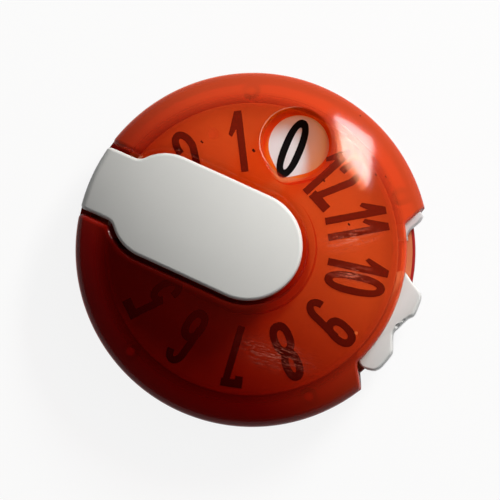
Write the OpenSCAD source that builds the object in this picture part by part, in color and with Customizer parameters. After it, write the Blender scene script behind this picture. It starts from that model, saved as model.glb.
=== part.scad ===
// Score counter for a round of golf: a numbered dial turns under a domed cover, one number for
// each push of the lever in the rim, and springs back to zero when the wide key is pressed.
// The origin is at the centre of the base's flat underside and +Z is up. The key's hinge lies
// towards -X, the window towards +Y and the lever's slot towards +X.

/* [Case] */
// Diameter of the round case
case_d = 42; // [41:0.5:46]
// Height of the seam between base and cover, which is also the round of the base
seam_h = 5; // [4.8:0.1:5.4]
// Radius of the dome over the dial
dome_r = 36; // [33:0.5:42]
// Radius that rounds the dome into the side
rim_round = 2; // [1.7:0.1:2.4]
// Wall of the cover
cover_wall = 1.5; // [1.3:0.1:1.6]
// Wall and floor of the base
base_wall = 1.3; // [1.1:0.05:1.4]
// Space between the dial's edge and the dome above it
dome_gap = 0.65; // [0.55:0.05:1.5]

/* [Window] */
// Distance of the window's wide end from the dial's centre
window_at = 13.6; // [13.3:0.1:13.7]
// Radius of the window's wide end
window_r = 3.65; // [3.3:0.05:3.75]
// Distance from the wide end's centre to the narrow end's centre
window_step = 2.5; // [2.2:0.1:2.8]
// Radius of the window's narrow end
window_tip_r = 1.75; // [1.5:0.05:2]
// Wall of the skirt that reaches down to the dial
window_wall = 0.9; // [0.6:0.1:1]

/* [Reset key] */
// Width of the key's pad
key_w = 12.8; // [11.8:0.1:13.4]
// Width of the key's neck at the rim
neck_w = 8; // [7.4:0.1:8.6]
// Distance of the shoulder's rim side from the centre
shoulder_at = 16.9; // [16.4:0.1:17.2]
// Length over which the shoulder widens
shoulder_len = 5.4; // [4.8:0.1:5.8]
// Thickness of the key
key_t = 1.3; // [1.1:0.05:1.5]
// Space all round the key
key_gap = 0.45; // [0.35:0.05:0.6]
// Wall of the well that the key sinks into
well_wall = 1; // [0.8:0.1:1.2]
// Thickness of the well's floor
well_floor_t = 0.6; // [0.5:0.05:0.9]
// Space between the dial's edge and the key's knuckle
hinge_gap = 0.1; // [0.1:0.05:0.25]
// Diameter of the key's hinge pin
hinge_pin_d = 0.9; // [0.7:0.05:0.95]
// Radius of the key's knuckle and of the two ears
knuckle_r = 0.85; // [0.8:0.05:0.95]

/* [Slot and lever] */
// Depth of the slot, from the rim to the edge of the cap
slot_depth = 2.6; // [2.3:0.1:2.7]
// Distance of the ledge's edge from the rim, below the slot
ledge_in = 1.8; // [1.6:0.1:2]
// Distance of the lever's pivot from the centre
pivot_at = 10.5; // [10.3:0.1:10.8]
// Diameter of the lever's pivot pin
pivot_d = 2; // [1.6:0.1:2.4]
// Swing of the lever
lever_swing = 21; // [15:0.5:21]
// Thickness of the lever's plate
lever_t = 1.1; // [0.9:0.05:1.4]
// Height of the finger grip
grip_h = 3.8; // [3:0.1:3.9]

/* [Dial] */
// Numbers on the dial
count = 13; // [13]
// Thickness of the dial
disc_t = 1; // [0.8:0.05:1.3]
// Thickness of the printed numbers
ink_t = 0.05; // [0.04:0.01:0.06]
// Height of the printed numbers
digit_h = 7.3; // [6.2:0.1:7.4]
// Width of the printed number 0
digit_w = 2.6; // [2.4:0.1:2.8]
// Width of a stroke of the printed numbers
stroke_w = 0.85; // [0.7:0.05:0.9]
// Space between the numbers and the dial's edge
digit_margin = 0.85; // [0.8:0.05:1.2]
// Angle by which the dial leads at rest
dial_lead = 2.5; // [0:0.5:4]

/* [Ratchet and hub] */
// Radius of the ratchet over its teeth
ratchet_r = 4.9; // [4.7:0.05:4.95]
// Depth of a ratchet tooth
tooth_depth = 1; // [0.8:0.05:1.1]
// Thickness of the ratchet and of both pawls
ratchet_t = 0.7; // [0.6:0.05:0.9]
// Diameter of the fixed axle
axle_d = 2; // [1.8:0.05:2.2]
// Outer diameter of the hub's tube
hub_d = 5.2; // [5:0.1:5.6]
// Diameter of the pocket for the lift spring
pocket_d = 4; // [3.8:0.05:4.2]
// Depth of the pocket above the ratchet's underside
pocket_h = 2.75; // [2.6:0.05:2.9]
// Thickness of the retaining ring over the dial
ring_t = 0.75; // [0.5:0.05:1]
// Outer diameter of the retaining ring
ring_d = 8.4; // [7.6:0.1:10]
// Thickness of the thrust washer
washer_t = 0.3; // [0.2:0.05:0.4]

/* [Springs and small parts] */
// Thickness of the mechanism plate
plate_t = 0.8; // [0.7:0.05:1]
// Diameter of the lift spring's wire
lift_wire = 0.35; // [0.3:0.05:0.4]
// Turns of the lift spring
lift_turns = 5; // [4:1:6]
// Height of the spiral return spring's strip
strip_h = 1.2; // [0.9:0.05:1.4]
// Thickness of the spiral return spring's strip
strip_t = 0.2; // [0.15:0.05:0.25]
// Turns of the spiral return spring
strip_turns = 4; // [3:1:5]
// Diameter of the lever spring's wire
lever_wire = 0.35; // [0.3:0.05:0.35]
// Height of the rivet heads and pin heads
head_t = 0.25; // [0.2:0.05:0.3]
// Diameter of the pawl rivets
rivet_d = 0.9; // [0.8:0.05:1]
// Diameter of the case screws
screw_d = 1; // [0.8:0.05:1.1]
// Diameter of the case screws' heads
screw_head_d = 1.9; // [1.6:0.05:2]
// Distance of the screws from the rim
screw_in = 2.25; // [2.1:0.05:2.4]

/* [Hidden] */
$fn = 96;

// Clearances
run_gap = 0.05;
slide_gap = 0.1;
step_gap = 0.2;
cut_over = 1;

case_r = case_d / 2;
flat_r = case_r - seam_h;

// Heights of the stack, from the table up
plate_z = base_wall;
plate_top = plate_z + plate_t;
lever_z = plate_top + 0.3;
lever_top = lever_z + lever_t;
ledge_h = lever_z - step_gap;
grip_top = lever_z + grip_h;
ratchet_z = lever_top + 0.15;
ratchet_top = ratchet_z + ratchet_t;
head_top = ratchet_top + head_t;
drop = ratchet_t + step_gap;
disc_z = head_top + drop + slide_gap;
disc_top = disc_z + disc_t;
ink_top = disc_top + ink_t;
ring_top = disc_top + ring_t;
well_z = ring_top + slide_gap;
well_top = well_z + well_floor_t;
strip_z = well_top + step_gap;
hub_top = strip_z + strip_h + 0.85;
stud_z = hub_top + 0.15;
axle_top = hub_top - drop - 0.3;
pocket_top = ratchet_z + pocket_h;
skirt_z = ink_top + 0.35;

// Plan sizes that follow from the case
screw_at = case_r - screw_in;
boss_r = 1.1;
pillar_r = 1.2;
dial_r = screw_at - pillar_r - step_gap;
slot_r = case_r - slot_depth;
screw_angles = [44, -44, 115, -115];
case_h = ink_top + dome_gap + dome_r - sqrt(pow(dome_r - cover_wall, 2) - pow(dial_r, 2));
ball_z = case_h - dome_r;

// The slot's ends, as an angle at the cap's edge and one at the rim
slot_low = [-22.4, -27.4];
slot_high = [34, 38.3];

// The key's hinge, and the angle that drops the dial clear of the pawls
hinge_x = dial_r + hinge_gap + knuckle_r;
hinge_z = seam_h + 0.4;
press_angle = asin(drop / hinge_x);
key_sink = 0.3;
ear_y = [2.9, 3.7];

// The lever's frame is turned a little from the slot's middle
lever_tilt = 5;
pawl_eye_r = 0.95;
pawl_eye = [6.5, 5.5];
pawl_tip = [4.5, 1.2];
pivot = [pivot_at, 0];
pivot_boss_r = pivot_d / 2 + 0.4;
spring_post = [7.6, -3.4];
spring_peg = [14.2, -0.9];
post_r = 0.5;
pawl_back = 6;

// The finger grip's outline in the lever's frame: angle, and distance in from the rim
grip_outline = [[12.2, 2.9], [7.8, 1.55], [5.2, 0.32], [3.1, 0.2], [-2.6, 0.28], [-3.7, 0.8],
    [-6.3, 1.2], [-8.6, 1.42], [-10.8, 1.72], [-15.8, 0.55], [-17, 0.36], [-22.8, 0.34],
    [-25.2, 0.64], [-26.9, 1.6], [-27.2, 2.3]];
grip_inner = 3.6;

// The lip at the slot's upper end: angle, and distance in from the rim
lip_outline = [[29.2, 3.2], [29.2, 2.8], [31.6, 2.35], [32.8, 1.85], [33.7, 1.25], [35.2, 0.55],
    [36.7, 0.38], [37.2, 0.75], [35.9, 1.5], [33.6, 2.7], [33, 3.2]];

// The stop: a tab under the dial meets a post on the plate when the dial has dropped
pitch = 360 / count;
stop_len = 1.6;
stop_at = flat_r - slide_gap - stop_len / 2 - 0.6;
post_angle = 180;
tab_angle = post_angle - pitch / 2;
tab_w = 2.4;
tab_drop = 0.85;

function polar(r, a) = [r * cos(a), r * sin(a)];
function arc(c, r, a0, a1, n) = [for (i = [0:n]) c + polar(r, a0 + (a1 - a0) * i / n)];
function turned(p, a) = [p.x * cos(a) - p.y * sin(a), p.x * sin(a) + p.y * cos(a)];
function flipped(pts) = [for (i = [len(pts) - 1:-1:0]) [pts[i].x, -pts[i].y]];
function unit(v) = v / norm(v);
function rim_point(p) = polar(case_r - p[1], p[0]);

// The key's shoulder: one arc turns out of the neck and a second turns back into the pad
shoulder_rise = (key_w - neck_w) / 2;
shoulder_turn = 2 * atan(shoulder_rise / shoulder_len);
shoulder_sum = shoulder_len / sin(shoulder_turn);
shoulder_in_r = max(shoulder_sum * 0.22, key_gap + well_wall + 0.1);
shoulder_out_r = shoulder_sum - shoulder_in_r;

// Half of the key's outline, moved out by g
function key_edge(g) = concat(
    [[-case_r - cut_over, neck_w / 2 + g]],
    arc([-shoulder_at, neck_w / 2 + shoulder_in_r], shoulder_in_r - g, -90,
        -90 + shoulder_turn, 8),
    arc([-shoulder_at + shoulder_len, key_w / 2 - shoulder_out_r], shoulder_out_r + g,
        90 + shoulder_turn, 90, 8),
    arc([0, 0], key_w / 2 + g, 90, 0, 24));

module key_plan(g) {
    polygon(concat(key_edge(g), flipped(key_edge(g))));
}

// The window's outline, moved out by g: two round ends and their common tangents
module window_plan(g) {
    lean = acos((window_r - window_tip_r) / window_step);
    polygon(concat(
        arc([0, window_at], window_r + g, -90 + lean, 270 - lean, 40),
        arc([0, window_at - window_step], window_tip_r + g, -90 - lean, -90 + lean, 12)));
}

// Half section of the dome, set in from the outside by inset, down to the height bottom
module dome_section(inset, bottom) {
    wall_r = case_r - inset;
    ball = dome_r - inset;
    fillet = rim_round - inset;
    fx = wall_r - fillet;
    fz = ball_z + sqrt(pow(ball - fillet, 2) - pow(fx, 2));
    // The fillet meets the ball on the line through both centres, drawn on to this point
    beyond = [fx, fz] + 6 * fillet * unit([fx, fz - ball_z]);
    intersection() {
        translate([0, ball_z]) circle(ball);
        polygon([[0, bottom], [wall_r, bottom], [wall_r, fz], [fx, fz], beyond,
            [0, case_h + case_r]]);
    }
    intersection() {
        translate([fx, fz]) circle(fillet);
        polygon([[fx, fz], [wall_r, fz], [wall_r + fillet, fz + 2 * fillet], beyond]);
    }
}

module dome_solid(inset, bottom) {
    rotate_extrude() dome_section(inset, bottom);
}

// The base's outer shape, set in by inset and carried straight up past the seam by above
module base_solid(inset, above) {
    round_r = seam_h - inset;
    rotate_extrude() {
        translate([0, inset]) square([flat_r, round_r + above]);
        if (above > 0) translate([flat_r, seam_h]) square([round_r, above]);
        intersection() {
            translate([flat_r, seam_h]) circle(round_r);
            translate([flat_r, inset]) square([round_r, round_r]);
        }
    }
}

// The slot in the rim, cut down to the height bottom and in to the radius inner
module slot_cut(inner, bottom) {
    low = [polar(slot_r, slot_low[0]), polar(case_r, slot_low[1])];
    high = [polar(slot_r, slot_high[0]), polar(case_r, slot_high[1])];
    low_run = low[1] - low[0];
    high_run = high[1] - high[0];
    translate([0, 0, bottom]) linear_extrude(case_h) difference() {
        polygon([[0, 0], low[0] - low_run, low[0] + 2 * low_run, [case_r + 8, 0],
            high[0] + 2 * high_run, high[0] - high_run]);
        circle(inner);
    }
}

module at_screws() {
    for (a = screw_angles) rotate(a) translate([screw_at, 0, 0]) children();
}

module in_lever_frame() {
    rotate(lever_tilt) children();
}

// A pin with a head on top
module headed_pin(d, head_d, bottom, top) {
    translate([0, 0, bottom]) cylinder(d = d, h = top - bottom);
    translate([0, 0, top - head_t]) cylinder(d = head_d, h = head_t);
}

// A round wire of diameter d along the points of a path, as one closed tube of six sides
module wire(path, d) {
    last = len(path) - 1;
    sides = 6;
    rings = [for (i = [0:last])
        let (ahead = unit(path[min(i + 1, last)] - path[max(i - 1, 0)]),
            across = unit(cross([0, 0, 1], ahead)),
            up = cross(ahead, across))
        for (k = [0:sides - 1])
            path[i] + d / 2 * (cos(60 * k) * across + sin(60 * k) * up)];
    walls = [for (i = [0:last - 1], k = [0:sides - 1])
        let (a = i * sides + k, b = i * sides + (k + 1) % sides)
        each [[a, b, b + sides], [a, b + sides, a + sides]]];
    start = [for (k = [1:sides - 2]) [0, k + 1, k]];
    finish = [for (k = [1:sides - 2]) [last * sides, last * sides + k, last * sides + k + 1]];
    polyhedron(rings, concat(walls, start, finish));
}

module top_cover() {
    color([0.85, 0.2, 0.08]) difference() {
        union() {
            difference() {
                dome_solid(0, seam_h);
                dome_solid(cover_wall, seam_h - cut_over);
            }
            intersection() {
                dome_solid(0, seam_h);
                union() {
                    translate([0, 0, well_z]) linear_extrude(case_h) key_plan(key_gap + well_wall);
                    translate([0, 0, skirt_z]) linear_extrude(case_h) window_plan(window_wall);
                    at_screws() translate([0, 0, seam_h]) cylinder(r = boss_r, h = case_h);
                }
            }
        }
        translate([0, 0, well_top]) linear_extrude(case_h) key_plan(key_gap);
        // Near the rim the key's underside is lower than the well's floor
        difference() {
            translate([0, 0, ink_top]) linear_extrude(case_h) key_plan(key_gap);
            translate([0, 0, ball_z]) sphere(dome_r - key_t - key_sink);
        }
        translate([-case_r - cut_over, -neck_w / 2 - key_gap, 0])
            cube([case_r + cut_over - shoulder_at, neck_w + 2 * key_gap, case_h]);
        cylinder(d = hub_d + 1.6, h = case_h);
        linear_extrude(case_h + cut_over) window_plan(0);
        slot_cut(slot_r, 0);
        at_screws() cylinder(d = screw_d, h = seam_h + 2);
    }
    color([0.85, 0.2, 0.08]) spring_anchor();
}

// Post on the well's floor that holds the return spring's outer end
module spring_anchor() {
    translate([0, anchor_y, well_top]) cylinder(r = post_r, h = strip_h + 0.5);
}

module base_shell() {
    color([0.72, 0.12, 0.06]) difference() {
        union() {
            difference() {
                base_solid(0, 0);
                base_solid(base_wall, cut_over);
            }
            intersection() {
                base_solid(0, 0);
                at_screws() cylinder(r = pillar_r, h = seam_h);
            }
        }
        slot_cut(flat_r + 1, ledge_h);
        slot_cut(case_r - ledge_in, 0);
        at_screws() cylinder(d = screw_d + slide_gap, h = case_h);
        at_screws() cylinder(d = screw_head_d + slide_gap, h = screw_head_z + screw_head_t);
        translate([0, 0, axle_seat]) cylinder(d = axle_d, h = case_h);
    }
}

// Height of the axle's foot in the base's floor
axle_seat = 0.4;
screw_head_z = 1.55;
screw_head_t = 0.6;

module mechanism_plate() {
    arm_t = 1;
    color([0.93, 0.93, 0.91]) difference() {
        union() {
            translate([0, 0, plate_z]) cylinder(r = flat_r - slide_gap, h = plate_t);
            intersection() {
                base_solid(base_wall + slide_gap, case_h);
                union() {
                    for (s = [-1, 1]) translate([0, s * (ear_y[0] + ear_y[1]) / 2, 0]) hinge_ear();
                    slot_lip();
                }
            }
            stop_post();
            rotate(pitch * pawl_back) in_lever_frame() translate([pawl_eye.x, pawl_eye.y, plate_z])
                cylinder(r = pawl_eye_r, h = ratchet_z - plate_z);
            in_lever_frame() translate([spring_post.x, spring_post.y, plate_z])
                cylinder(r = post_r, h = ratchet_top - plate_z);
        }
        cylinder(d = axle_d, h = case_h);
        in_lever_frame() translate([pivot.x, pivot.y, 0]) cylinder(d = pivot_d, h = case_h);
        rotate(pitch * pawl_back) in_lever_frame() translate([pawl_eye.x, pawl_eye.y, 0])
            cylinder(d = rivet_d, h = case_h);
        translate([-hinge_x, 0, hinge_z]) rotate([90, 0, 0])
            cylinder(d = hinge_pin_d, h = 3 * ear_y[1], center = true);
    }
}

// One ear of the key's hinge, standing on an arm of the plate
module hinge_ear() {
    ear_w = ear_y[1] - ear_y[0];
    rotate([90, 0, 0]) linear_extrude(ear_w, center = true) {
        translate([-hinge_x, hinge_z]) circle(knuckle_r);
        translate([-hinge_x - knuckle_r, plate_z]) square([2 * knuckle_r, hinge_z - plate_z]);
        translate([-hinge_x, plate_z]) square([hinge_x - stop_at, plate_t + 1]);
    }
}

// The lip at the slot's upper end, on its arm
module slot_lip() {
    translate([0, 0, lever_z - slide_gap]) linear_extrude(grip_top - lever_z + 0.3)
        polygon([for (p = lip_outline) rim_point(p)]);
    rotate(lip_outline[0][0] + 2.5) translate([stop_at, -1, plate_z])
        cube([slot_r - stop_at, 2, plate_t + 1]);
}

// The post's two flanks lie along the flanks of the tab at zero and at the last number
module stop_post() {
    rotate(post_angle) translate([0, 0, plate_z]) linear_extrude(stop_top - plate_z) difference() {
        translate([stop_at, 0]) square([stop_len, 2 * stop_at * sin(pitch / 2)], center = true);
        for (s = [-1, 1]) rotate(s * pitch / 2) translate([stop_at, 0])
            square([3 * stop_len, tab_w + 2 * slide_gap], center = true);
    }
}
stop_top = disc_z - drop - 0.3;

module axle_pin() {
    color([0.75, 0.76, 0.78]) translate([0, 0, axle_seat])
        cylinder(d = axle_d, h = axle_top - axle_seat);
}

module lever_pivot() {
    color([0.75, 0.76, 0.78]) in_lever_frame() translate([pivot.x, pivot.y, 0]) {
        translate([0, 0, plate_z]) cylinder(d = pivot_d, h = ratchet_top - plate_z);
        translate([0, 0, lever_top + slide_gap])
            cylinder(r = pivot_boss_r, h = ratchet_top - lever_top - slide_gap);
    }
}

module hinge_pin() {
    color([0.75, 0.76, 0.78]) translate([-hinge_x, 0, hinge_z]) rotate([90, 0, 0])
        cylinder(d = hinge_pin_d, h = 2 * ear_y[1], center = true);
}

// A pawl: an eye on its rivet and a springy finger that leans on the ratchet
module pawl() {
    along = unit(pawl_tip - pawl_eye);
    across = [-along.y, along.x];
    translate([0, 0, ratchet_z]) linear_extrude(ratchet_t) difference() {
        union() {
            translate(pawl_eye) circle(pawl_eye_r);
            polygon([pawl_eye - 0.7 * across, pawl_tip - 0.3 * across - 0.5 * along,
                pawl_tip + 0.1 * along, pawl_tip + 0.25 * across - 0.2 * along,
                pawl_eye + 0.5 * across + 0.5 * along]);
        }
        translate(pawl_eye) circle(d = rivet_d);
    }
}

module check_pawl() {
    color([0.85, 0.85, 0.83]) rotate(pitch * pawl_back) in_lever_frame() pawl();
}

module check_pawl_rivet() {
    color([0.75, 0.76, 0.78]) rotate(pitch * pawl_back) in_lever_frame()
        translate([pawl_eye.x, pawl_eye.y, 0]) headed_pin(rivet_d, 1.5, plate_z, head_top);
}

module drive_pawl() {
    color([0.85, 0.85, 0.83]) in_lever_frame() pawl();
}

module drive_pawl_rivet() {
    color([0.75, 0.76, 0.78]) in_lever_frame() translate([pawl_eye.x, pawl_eye.y, 0])
        headed_pin(rivet_d, 1.5, lever_z, head_top);
}

module case_screws() {
    color([0.6, 0.6, 0.62]) at_screws() difference() {
        union() {
            translate([0, 0, screw_head_z]) cylinder(d = screw_head_d, h = screw_head_t);
            translate([0, 0, screw_head_z]) cylinder(d = screw_d, h = seam_h + 1.8 - screw_head_z);
        }
        for (a = [0, 90]) rotate(a) translate([0, 0, screw_head_z])
            cube([screw_head_d * 0.6, 0.25, 0.5], center = true);
    }
}

// The spiral return spring: a strip wound from the hub's tube out to the post in the well
strip_in_r = hub_d / 2 + strip_t / 2 + 0.02;
strip_out_r = key_w / 2 + key_gap - post_r - 0.75;
anchor_y = strip_out_r + strip_t / 2 + post_r + 0.02;
module return_spring() {
    steps = strip_turns * 24;
    path = [for (i = [0:steps])
        polar(strip_in_r + (strip_out_r - strip_in_r) * i / steps, 90 + 360 * i / 24)];
    color([0.7, 0.71, 0.73]) translate([0, 0, strip_z]) linear_extrude(strip_h)
        polygon(stroke_loop(path, strip_t));
}

module lift_spring() {
    spring_r = pocket_d / 2 - lift_wire / 2 - slide_gap;
    low = plate_top + lift_wire / 2 + 0.02;
    high = pocket_top - washer_t - lift_wire / 2 - 0.02;
    steps = lift_turns * 12;
    color([0.7, 0.71, 0.73]) wire([for (i = [0:steps]) let (p = polar(spring_r, 30 * i))
        [p.x, p.y, low + (high - low) * i / steps]], lift_wire);
}

// The lever spring: two turns round the pivot's boss and two straight legs
module lever_spring() {
    coil_r = pivot_boss_r + lever_wire / 2 + slide_gap;
    low = lever_top + slide_gap + lever_wire / 2;
    high = ratchet_top - lever_wire / 2;
    to_post = unit(spring_post - pivot);
    to_peg = unit(spring_peg - pivot);
    post_side = spring_post + (post_r + lever_wire / 2 + 0.03) * [to_post.y, -to_post.x];
    peg_side = spring_peg + (post_r + lever_wire / 2 + 0.03) * [to_peg.y, -to_peg.x];
    start = atan2(post_side.y - pivot.y, post_side.x - pivot.x) + 68;
    coil_turn = 360 + peg_lead;
    coil = [for (i = [0:20]) let (p = pivot + polar(coil_r, start + coil_turn * i / 20))
        [p.x, p.y, low + (high - low) * i / 20]];
    color([0.7, 0.71, 0.73]) in_lever_frame() wire(concat(
        [[post_side.x, post_side.y, low]], coil, [[peg_side.x, peg_side.y, high]]), lever_wire);
}
peg_lead = 58;

module reset_key() {
    color([0.92, 0.93, 0.92]) {
        difference() {
            intersection() {
                union() {
                    difference() {
                        dome_solid(0, seam_h + run_gap);
                        dome_solid(key_t, seam_h - cut_over);
                    }
                    key_knuckle();
                    translate([0, 0, stud_z]) cylinder(r = 1.6, h = case_h - key_t / 2 - stud_z);
                }
                linear_extrude(2 * case_h) key_plan(0);
            }
            translate([-hinge_x, 0, hinge_z]) rotate([90, 0, 0])
                cylinder(d = hinge_pin_d + 2 * run_gap, h = case_d, center = true);
        }
    }
}

// The key's knuckle, between the two ears
module key_knuckle() {
    intersection() {
        dome_solid(key_t / 2, 0);
        rotate([90, 0, 0])
            linear_extrude(2 * (ear_y[0] - slide_gap - run_gap), center = true) {
                translate([-hinge_x, hinge_z]) circle(knuckle_r);
                translate([-hinge_x - knuckle_r, hinge_z]) square([2 * knuckle_r, case_h]);
            }
    }
}

module count_lever() {
    color([0.9, 0.9, 0.88]) in_lever_frame() difference() {
        union() {
            translate([0, 0, lever_z]) linear_extrude(lever_t) lever_plan();
            translate([0, 0, lever_z]) linear_extrude(grip_h) grip_plan();
            translate([pawl_eye.x, pawl_eye.y, lever_z])
                cylinder(r = pawl_eye_r, h = ratchet_z - lever_z);
            translate([spring_peg.x, spring_peg.y, lever_z])
                cylinder(r = post_r, h = ratchet_top - lever_z);
        }
        translate([pivot.x, pivot.y, 0]) cylinder(d = pivot_d + 2 * run_gap, h = case_h);
        translate([pawl_eye.x, pawl_eye.y, 0]) cylinder(d = rivet_d, h = case_h);
        // The dial's edge passes the grip in every position of the lever
        for (i = [0:2]) translate(pivot + turned([-pivot.x, 0], -lever_swing * i / 2))
            translate([0, 0, disc_z - drop - step_gap]) cylinder(r = dial_r + step_gap, h = case_h);
    }
}

module lever_plan() {
    rear = unit([pawl_eye.y - pivot.y, pivot.x - pawl_eye.x]);
    translate(pivot) circle(pivot_d / 2 + 1.2);
    translate(pawl_eye) circle(pawl_eye_r);
    polygon([pivot + 1.8 * rear, pawl_eye + 0.9 * rear, pawl_eye - 0.9 * rear, pivot - 1.8 * rear]);
    polygon([pivot + [0, 2], polar(case_r - grip_inner + 0.6, 11), polar(case_r - 1.2, 0),
        polar(case_r - grip_inner + 0.6, -24), pivot - [0, 2]]);
}

module grip_plan() {
    polygon(concat([for (p = grip_outline) rim_point(p)],
        arc([0, 0], case_r - grip_inner, -25, 11, 12)));
}

module thrust_washer() {
    color([0.8, 0.8, 0.78]) translate([0, 0, pocket_top - washer_t]) difference() {
        cylinder(d = pocket_d - 0.1, h = washer_t);
        translate([0, 0, -cut_over]) cylinder(d = axle_d + 2 * run_gap, h = 2 * case_h);
    }
}

// The ratchet turns clockwise under the pawls, so its steep flanks face anticlockwise
module ratchet_hub() {
    lead = 18.2 - 1.2;
    color([0.88, 0.88, 0.86]) difference() {
        union() {
            translate([0, 0, ratchet_z]) linear_extrude(ratchet_t)
                polygon([for (i = [0:count - 1]) let (a = lead + i * pitch)
                    each [polar(ratchet_r, a), polar(ratchet_r - tooth_depth, a)]]);
            translate([0, 0, ratchet_z]) cylinder(d = hub_d, h = hub_top - ratchet_z);
            translate([0, 0, ratchet_z]) cylinder(d = hub_d + 1.6, h = disc_z - ratchet_z);
        }
        cylinder(d = axle_d + 2 * run_gap, h = case_h);
        cylinder(d = pocket_d, h = pocket_top);
    }
}

module number_disc() {
    color([0.95, 0.95, 0.94]) {
        difference() {
            union() {
                translate([0, 0, disc_z]) cylinder(r = dial_r, h = disc_t);
                rotate(tab_angle) translate([stop_at, 0, disc_z + disc_t / 2 - tab_drop])
                    cube([stop_len, tab_w, disc_t], center = true);
            }
            cylinder(d = hub_d, h = case_h);
        }
    }
}

module dial_ring() {
    color([0.88, 0.88, 0.86]) translate([0, 0, disc_top]) difference() {
        cylinder(d = ring_d, h = ring_t);
        translate([0, 0, -cut_over]) cylinder(d = hub_d, h = case_h);
    }
}

// Corner factor of a stroke at one point of its path
function miter(before, after) =
    let (n0 = [-before.y, before.x], n1 = [-after.y, after.x], m = unit(n0 + n1))
    m / (m * n0);

function side_of(path, i, closed) =
    let (n = len(path),
        p0 = path[closed ? (i + n - 1) % n : max(i - 1, 0)],
        p1 = path[i],
        p2 = path[closed ? (i + 1) % n : min(i + 1, n - 1)],
        before = i == 0 && !closed ? unit(p2 - p1) : unit(p1 - p0),
        after = i == n - 1 && !closed ? before : unit(p2 - p1))
    miter(before, after);

function shifted(path, d, closed) = [for (i = [0:len(path) - 1])
    path[i] + d * side_of(path, i, closed)];

function reversed(pts) = [for (i = [len(pts) - 1:-1:0]) pts[i]];

// The outline of an open stroke of width w along a path
function stroke_loop(path, w) =
    concat(shifted(path, w / 2, false), reversed(shifted(path, -w / 2, false)));

module stroke(path) {
    polygon(stroke_loop(path, stroke_w));
}

// A closed bowl, a little squarer than an ellipse, of half width a and half height b
function oval(c, a, b) = [for (i = [0:35]) let (x = cos(10 * i), y = sin(10 * i))
    c + [a * sign(x) * pow(abs(x), 0.87), b * sign(y) * pow(abs(y), 0.87)]];

function bend(c, a, b, from, to, n) = [for (i = [0:n]) let (t = from + (to - from) * i / n)
    c + [a * cos(t), b * sin(t)]];

module bowl(c, a, b) {
    difference() {
        polygon(oval(c, a, b));
        polygon(oval(c, a - stroke_w, b - 1.15 * stroke_w));
    }
}

module bar(left, right, low, high) {
    translate([left, low]) square([right - left, high - low]);
}

// Half width and half height of a digit, and of the middle line of its strokes
wide = digit_w / 2;
tall = digit_h / 2;
half_s = stroke_w / 2;
hw = wide - half_s;
hh = tall - half_s;
low_bowl = tall * 0.56;
high_bowl = tall * 0.53;
flag_w = 1.4;
flag_h = 3;
serif_h = 1.1;

// Half height of a hook that is as narrow at its end as the stroke's width allows
function hook_h(a) = min(1.6, a * a / (half_s + 0.05));

module digit(d) {
    if (d == 0) bowl([0, 0], wide, tall);
    if (d == 1) polygon([[half_s, -tall], [half_s, tall], [-half_s, tall],
        [-flag_w, tall - flag_h + 0.35], [-flag_w + 0.35, tall - flag_h],
        [-half_s, tall - flag_h + 0.9], [-half_s, -tall]]);
    if (d == 2) {
        h = hook_h(hw);
        stroke(concat(bend([0, hh - h], hw, h, 195, -15, 16), [[-hw + 0.1, -tall + 0.5]]));
        bar(-wide, wide, -tall, -tall + serif_h);
    }
    if (d == 3) {
        small = hook_h(hw - 0.05);
        large = hook_h(hw);
        stroke(bend([0, hh - small], hw - 0.05, small, 190, -85, 20));
        stroke(bend([0, large - hh], hw, large, -190, 85, 20));
    }
    if (d == 4) {
        stroke([[0.45, -tall], [0.45, tall]]);
        stroke([[0.3, hh], [-hw, -tall * 0.4]]);
        stroke([[-wide, -tall * 0.42], [wide + 0.1, -tall * 0.42]]);
    }
    if (d == 5) {
        bar(-wide + 0.1, wide - 0.1, tall - serif_h, tall);
        h = hook_h(hw);
        stroke([[-hw + 0.16, hh], [-hw + 0.1, 1.6 * h - hh]]);
        stroke(bend([0, h - hh], hw, h, 150, -165, 18));
    }
    if (d == 6) six();
    if (d == 7) {
        bar(-wide, wide, tall - 0.95, tall);
        bar(-wide + 0.04, -wide + 0.95, tall - 1.4, hh);
        stroke([[hw - 0.06, tall - 0.05], [hw - 1.1, -tall]]);
    }
    if (d == 8) {
        bowl([0, low_bowl - tall], wide, low_bowl);
        bowl([0, tall - high_bowl], wide - 0.15, high_bowl);
    }
    if (d == 9) rotate(180) six();
}

module six() {
    bowl([0, low_bowl - tall], wide, low_bowl);
    h = hook_h(hw - 0.1);
    stroke(concat([[0.1 - hw, low_bowl - tall]],
        bend([0.08, hh - h], hw - 0.1, h, 175, 10, 14)));
}

// How far each printed number leans
number_lean = [0, 1.5, 0, 0, 0, 0, 2.5, 0, 2.5, 0, 3, -2, 2];
pair_step = 1.95;

// The numbers run anticlockwise with their tops outward
module numerals() {
    digits_at = dial_r - digit_margin - digit_h / 2;
    color([0.08, 0.06, 0.06]) translate([0, 0, disc_top]) linear_extrude(ink_t)
        for (n = [0:count - 1]) rotate(dial_lead + n * pitch) translate([0, digits_at])
            rotate(number_lean[n]) if (n < 10) digit(n);
            else for (k = [0, 1]) translate([(k - 0.6) * pair_step, 0]) digit(k == 0 ? 1 : n - 10);
}

top_cover();
base_shell();
mechanism_plate();
axle_pin();
lever_pivot();
hinge_pin();
check_pawl();
check_pawl_rivet();
case_screws();
return_spring();
lift_spring();
lever_spring();
reset_key();
count_lever();
drive_pawl();
drive_pawl_rivet();
thrust_washer();
ratchet_hub();
number_disc();
dial_ring();
numerals();
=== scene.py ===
"""Looks of a pocket golf score counter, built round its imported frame.

A low dome of clear orange plastic covers a white numbered dial. A wide white key lies in a well
of the dome, a teardrop window shows one number, and a white lever fills part of a slot in the
rim. Sizes are in millimetres, in the frame's axes: +Z is up, the key's hinge lies towards -X,
the window towards +Y and the slot towards +X. Pieces are scaled to metres when they are settled.
"""

from __future__ import annotations

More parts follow.
